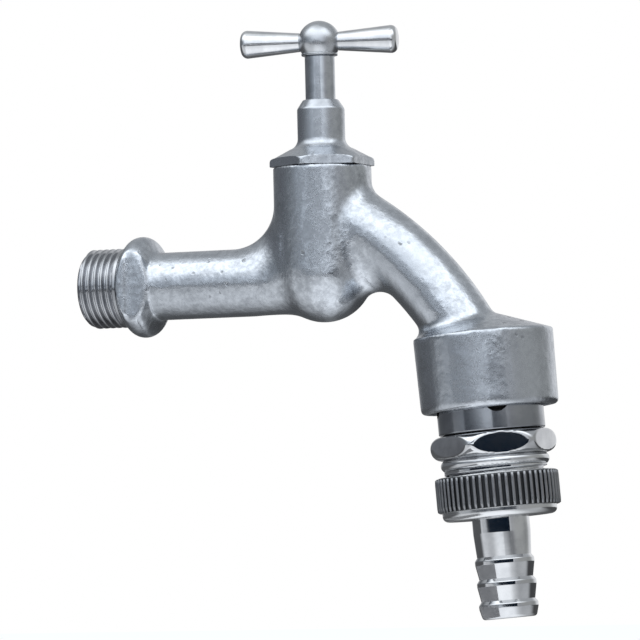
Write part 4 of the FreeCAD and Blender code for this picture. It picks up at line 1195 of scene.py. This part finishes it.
roomTone = {
    # Place and tone of the mirrored walls, from behind over the left, the front (0.5) and the right
    "walls": [
        (0.000, 0.60, 0.60, 0.62),
        (0.080, 0.15, 0.16, 0.17),
        (0.200, 0.17, 0.18, 0.20),
        (0.260, 0.19, 0.21, 0.23),
        (0.310, 0.30, 0.33, 0.37),
        (0.350, 0.52, 0.57, 0.63),
        (0.385, 0.88, 0.95, 1.04),
        (0.420, 1.12, 1.20, 1.30),
        (0.460, 1.22, 1.30, 1.40),
        (0.530, 1.02, 1.08, 1.16),
        (0.570, 0.74, 0.77, 0.81),
        (0.610, 0.44, 0.45, 0.47),
        (0.660, 0.43, 0.44, 0.44),
        (0.750, 0.42, 0.43, 0.43),
        (0.800, 0.36, 0.37, 0.37),
        (0.840, 0.46, 0.47, 0.47),
        (0.870, 0.79, 0.80, 0.82),
        (0.930, 0.94, 0.95, 0.97),
        (1.000, 0.60, 0.60, 0.62),
    ],
    "tint": (0.96, 1.0, 1.04),
    "ceiling": 0.50,
    "ceilingStart": (0.35, 0.60),
    # A darker band left of the camera: where it starts and ends in height and along the wall
    "bandDepth": 0.18,
    "bandHeight": ((-0.25, -0.05), (0.06, 0.26, 1.0, 0.0)),
    "bandPlace": ((0.30, 0.35), (0.42, 0.46, 1.0, 0.0)),
    # The room's lamp, the same way
    "lamp": 1.45,
    "lampHeight": ((0.25, 0.75), (0.88, 0.99, 1.0, 0.35)),
    "lampAhead": (-0.35, 0.05),
    "lampEnd": (0.665, 0.755, 1.0, 0.0),
}


def makeWorld():
    world = bpy.data.worlds.new("softStudio")
    bpy.context.scene.world = world
    world.use_nodes = True
    tree = Tree(world.node_tree.nodes, world.node_tree.links)
    camera, mirrored = rayKinds(tree)
    ahead, across, upward = roomWays(tree, "Generated")
    side = across.maths("ARCTAN2", across, ahead) / (2 * math.pi) + 0.5
    stops = [(place, (red, green, blue, 1.0)) for place, red, green, blue in roomTone["walls"]]
    walls = tree.wire(tree.add("ShaderNodeValToRGB", {"stops": stops}, {0: side}))
    overhead = upward.between(*roomTone["ceilingStart"])
    bottom, top = roomTone["bandHeight"]
    left, right = roomTone["bandPlace"]
    band = (upward.between(*bottom) * upward.between(*top) * side.between(*left) * side.between(*right)
            * roomTone["bandDepth"])
    bottom, top = roomTone["lampHeight"]
    lamp = (upward.between(*bottom) * upward.between(*top) * ahead.between(*roomTone["lampAhead"])
            * side.between(*roomTone["lampEnd"]) * roomTone["lamp"])
    shade = (1 - overhead) * (1 - band)
    room = tree.add("ShaderNodeVectorMath", {"operation": "SCALE"}, {0: walls, "Scale": shade})
    glow = overhead * roomTone["ceiling"] + lamp
    tinted = tree.add("ShaderNodeVectorMath", {"operation": "SCALE"}, {0: roomTone["tint"], "Scale": glow})
    seen = tree.add("ShaderNodeVectorMath", {"operation": "ADD"},
                    {0: tree.wire(room), 1: tree.wire(tinted)})
    plainTone = camera + (1 - camera) * studio["fill"]
    flat = tree.add("ShaderNodeCombineXYZ", None, {0: plainTone, 1: plainTone, 2: plainTone})
    chosen = tree.add("ShaderNodeMix", {"data_type": "VECTOR"},
                      {0: mirrored * (1 - camera), 4: tree.wire(flat), 5: tree.wire(seen)})
    tree.links.new(chosen.outputs[1], nodeOf(tree, "BACKGROUND").inputs["Color"])


# Upright cards that only mirrors see: two opposite corners (side, ahead, level) from the outlet, and
# the tone. In front, the low one darkens the tube under the nut and the breaker's left side, the
# small one the adapter's front flat, and the high one, with the low one, draws the line along the
# handle's arms. The one aside, close on the outlet's left, dims the left edges of the pieces there.
mirrorCards = {
    "lowCard": ((-0.85, 0.45, -0.086), (0.28, 0.45, -0.018), (0.008, 0.016, 0.030)),
    "smallCard": ((0.0, 0.45, -0.021), (0.28, 0.45, 0.016), (0.008, 0.016, 0.030)),
    "highCard": ((-0.42, 0.45, 0.038), (-0.02, 0.45, 0.098), (0.008, 0.016, 0.030)),
    "asideCard": ((-0.052, -0.10, -0.159), (-0.052, 0.066, -0.088), (0.38, 0.39, 0.41)),
}


def makeCard(name, start, end, tone):
    mesh = bpy.data.meshes.new(name)
    corners = [(tapAxes["outletX"] * mm + ahead * viewSine + side * viewCosine,
                -ahead * viewCosine + side * viewSine, level)
               for side, ahead, level in ((*start[:2], end[2]), end, (*end[:2], start[2]), start)]
    mesh.from_pydata(corners, [], [(0, 1, 2, 3)])
    material, tree, shader = newMaterial(name)
    shader.inputs["Base Color"].default_value = tone + (1.0,)
    shader.inputs["Roughness"].default_value = 0.9
    shader.inputs["Specular IOR Level"].default_value = 0.0
    mesh.materials.append(material)
    card = linked(name, mesh)
    card.visible_camera = False
    card.visible_diffuse = False
    card.visible_shadow = False


softBoxes = {
    "overhead": {"at": (0.05, -0.35, 0.85), "size": (0.9, 0.7), "power": 3.0},
    "front": {"at": (0.55, -0.85, 0.30), "size": (0.6, 0.8), "power": 1.5},
}


def makeLights():
    # Both lamps light rubber, plastic and the floor; metal mirrors the room's own lamp instead.
    target = Vector((studio["middle"], 0, -0.01))
    for name, box in softBoxes.items():
        lamp = bpy.data.lights.new(name, "AREA")
        lamp.shape = "RECTANGLE"
        lamp.size, lamp.size_y = box["size"]
        lamp.energy = box["power"]
        holder = linked(name, lamp)
        holder.location = box["at"]
        holder.rotation_euler = (target - holder.location).to_track_quat("-Z", "Y").to_euler()
        holder.visible_glossy = False


def makeCamera():
    elevation = math.radians(photoCamera["elevation"])
    roll = math.radians(photoCamera["roll"])
    back = Vector((math.cos(elevation) * viewSine, -math.cos(elevation) * viewCosine, math.sin(elevation)))
    right = Vector((viewCosine, viewSine, 0))
    up = back.cross(right)
    across = math.cos(roll) * right - math.sin(roll) * up
    upright = math.sin(roll) * right + math.cos(roll) * up
    turn = Matrix((across, upright, back)).transposed().to_4x4()
    camera = bpy.data.cameras.new("photoCamera")
    camera.lens = photoCamera["lens"]
    holder = linked("photoCamera", camera)
    place = Vector(photoCamera["target"]) + back * photoCamera["distance"]
    holder.matrix_world = Matrix.Translation(place) @ turn
    bpy.context.scene.camera = holder


makeFloor()
for name, (start, end, tone) in mirrorCards.items():
    makeCard(name, start, end, tone)
makeWorld()
makeLights()
makeCamera()
bpy.context.scene.view_settings.view_transform = "Standard"
print("studio ready")
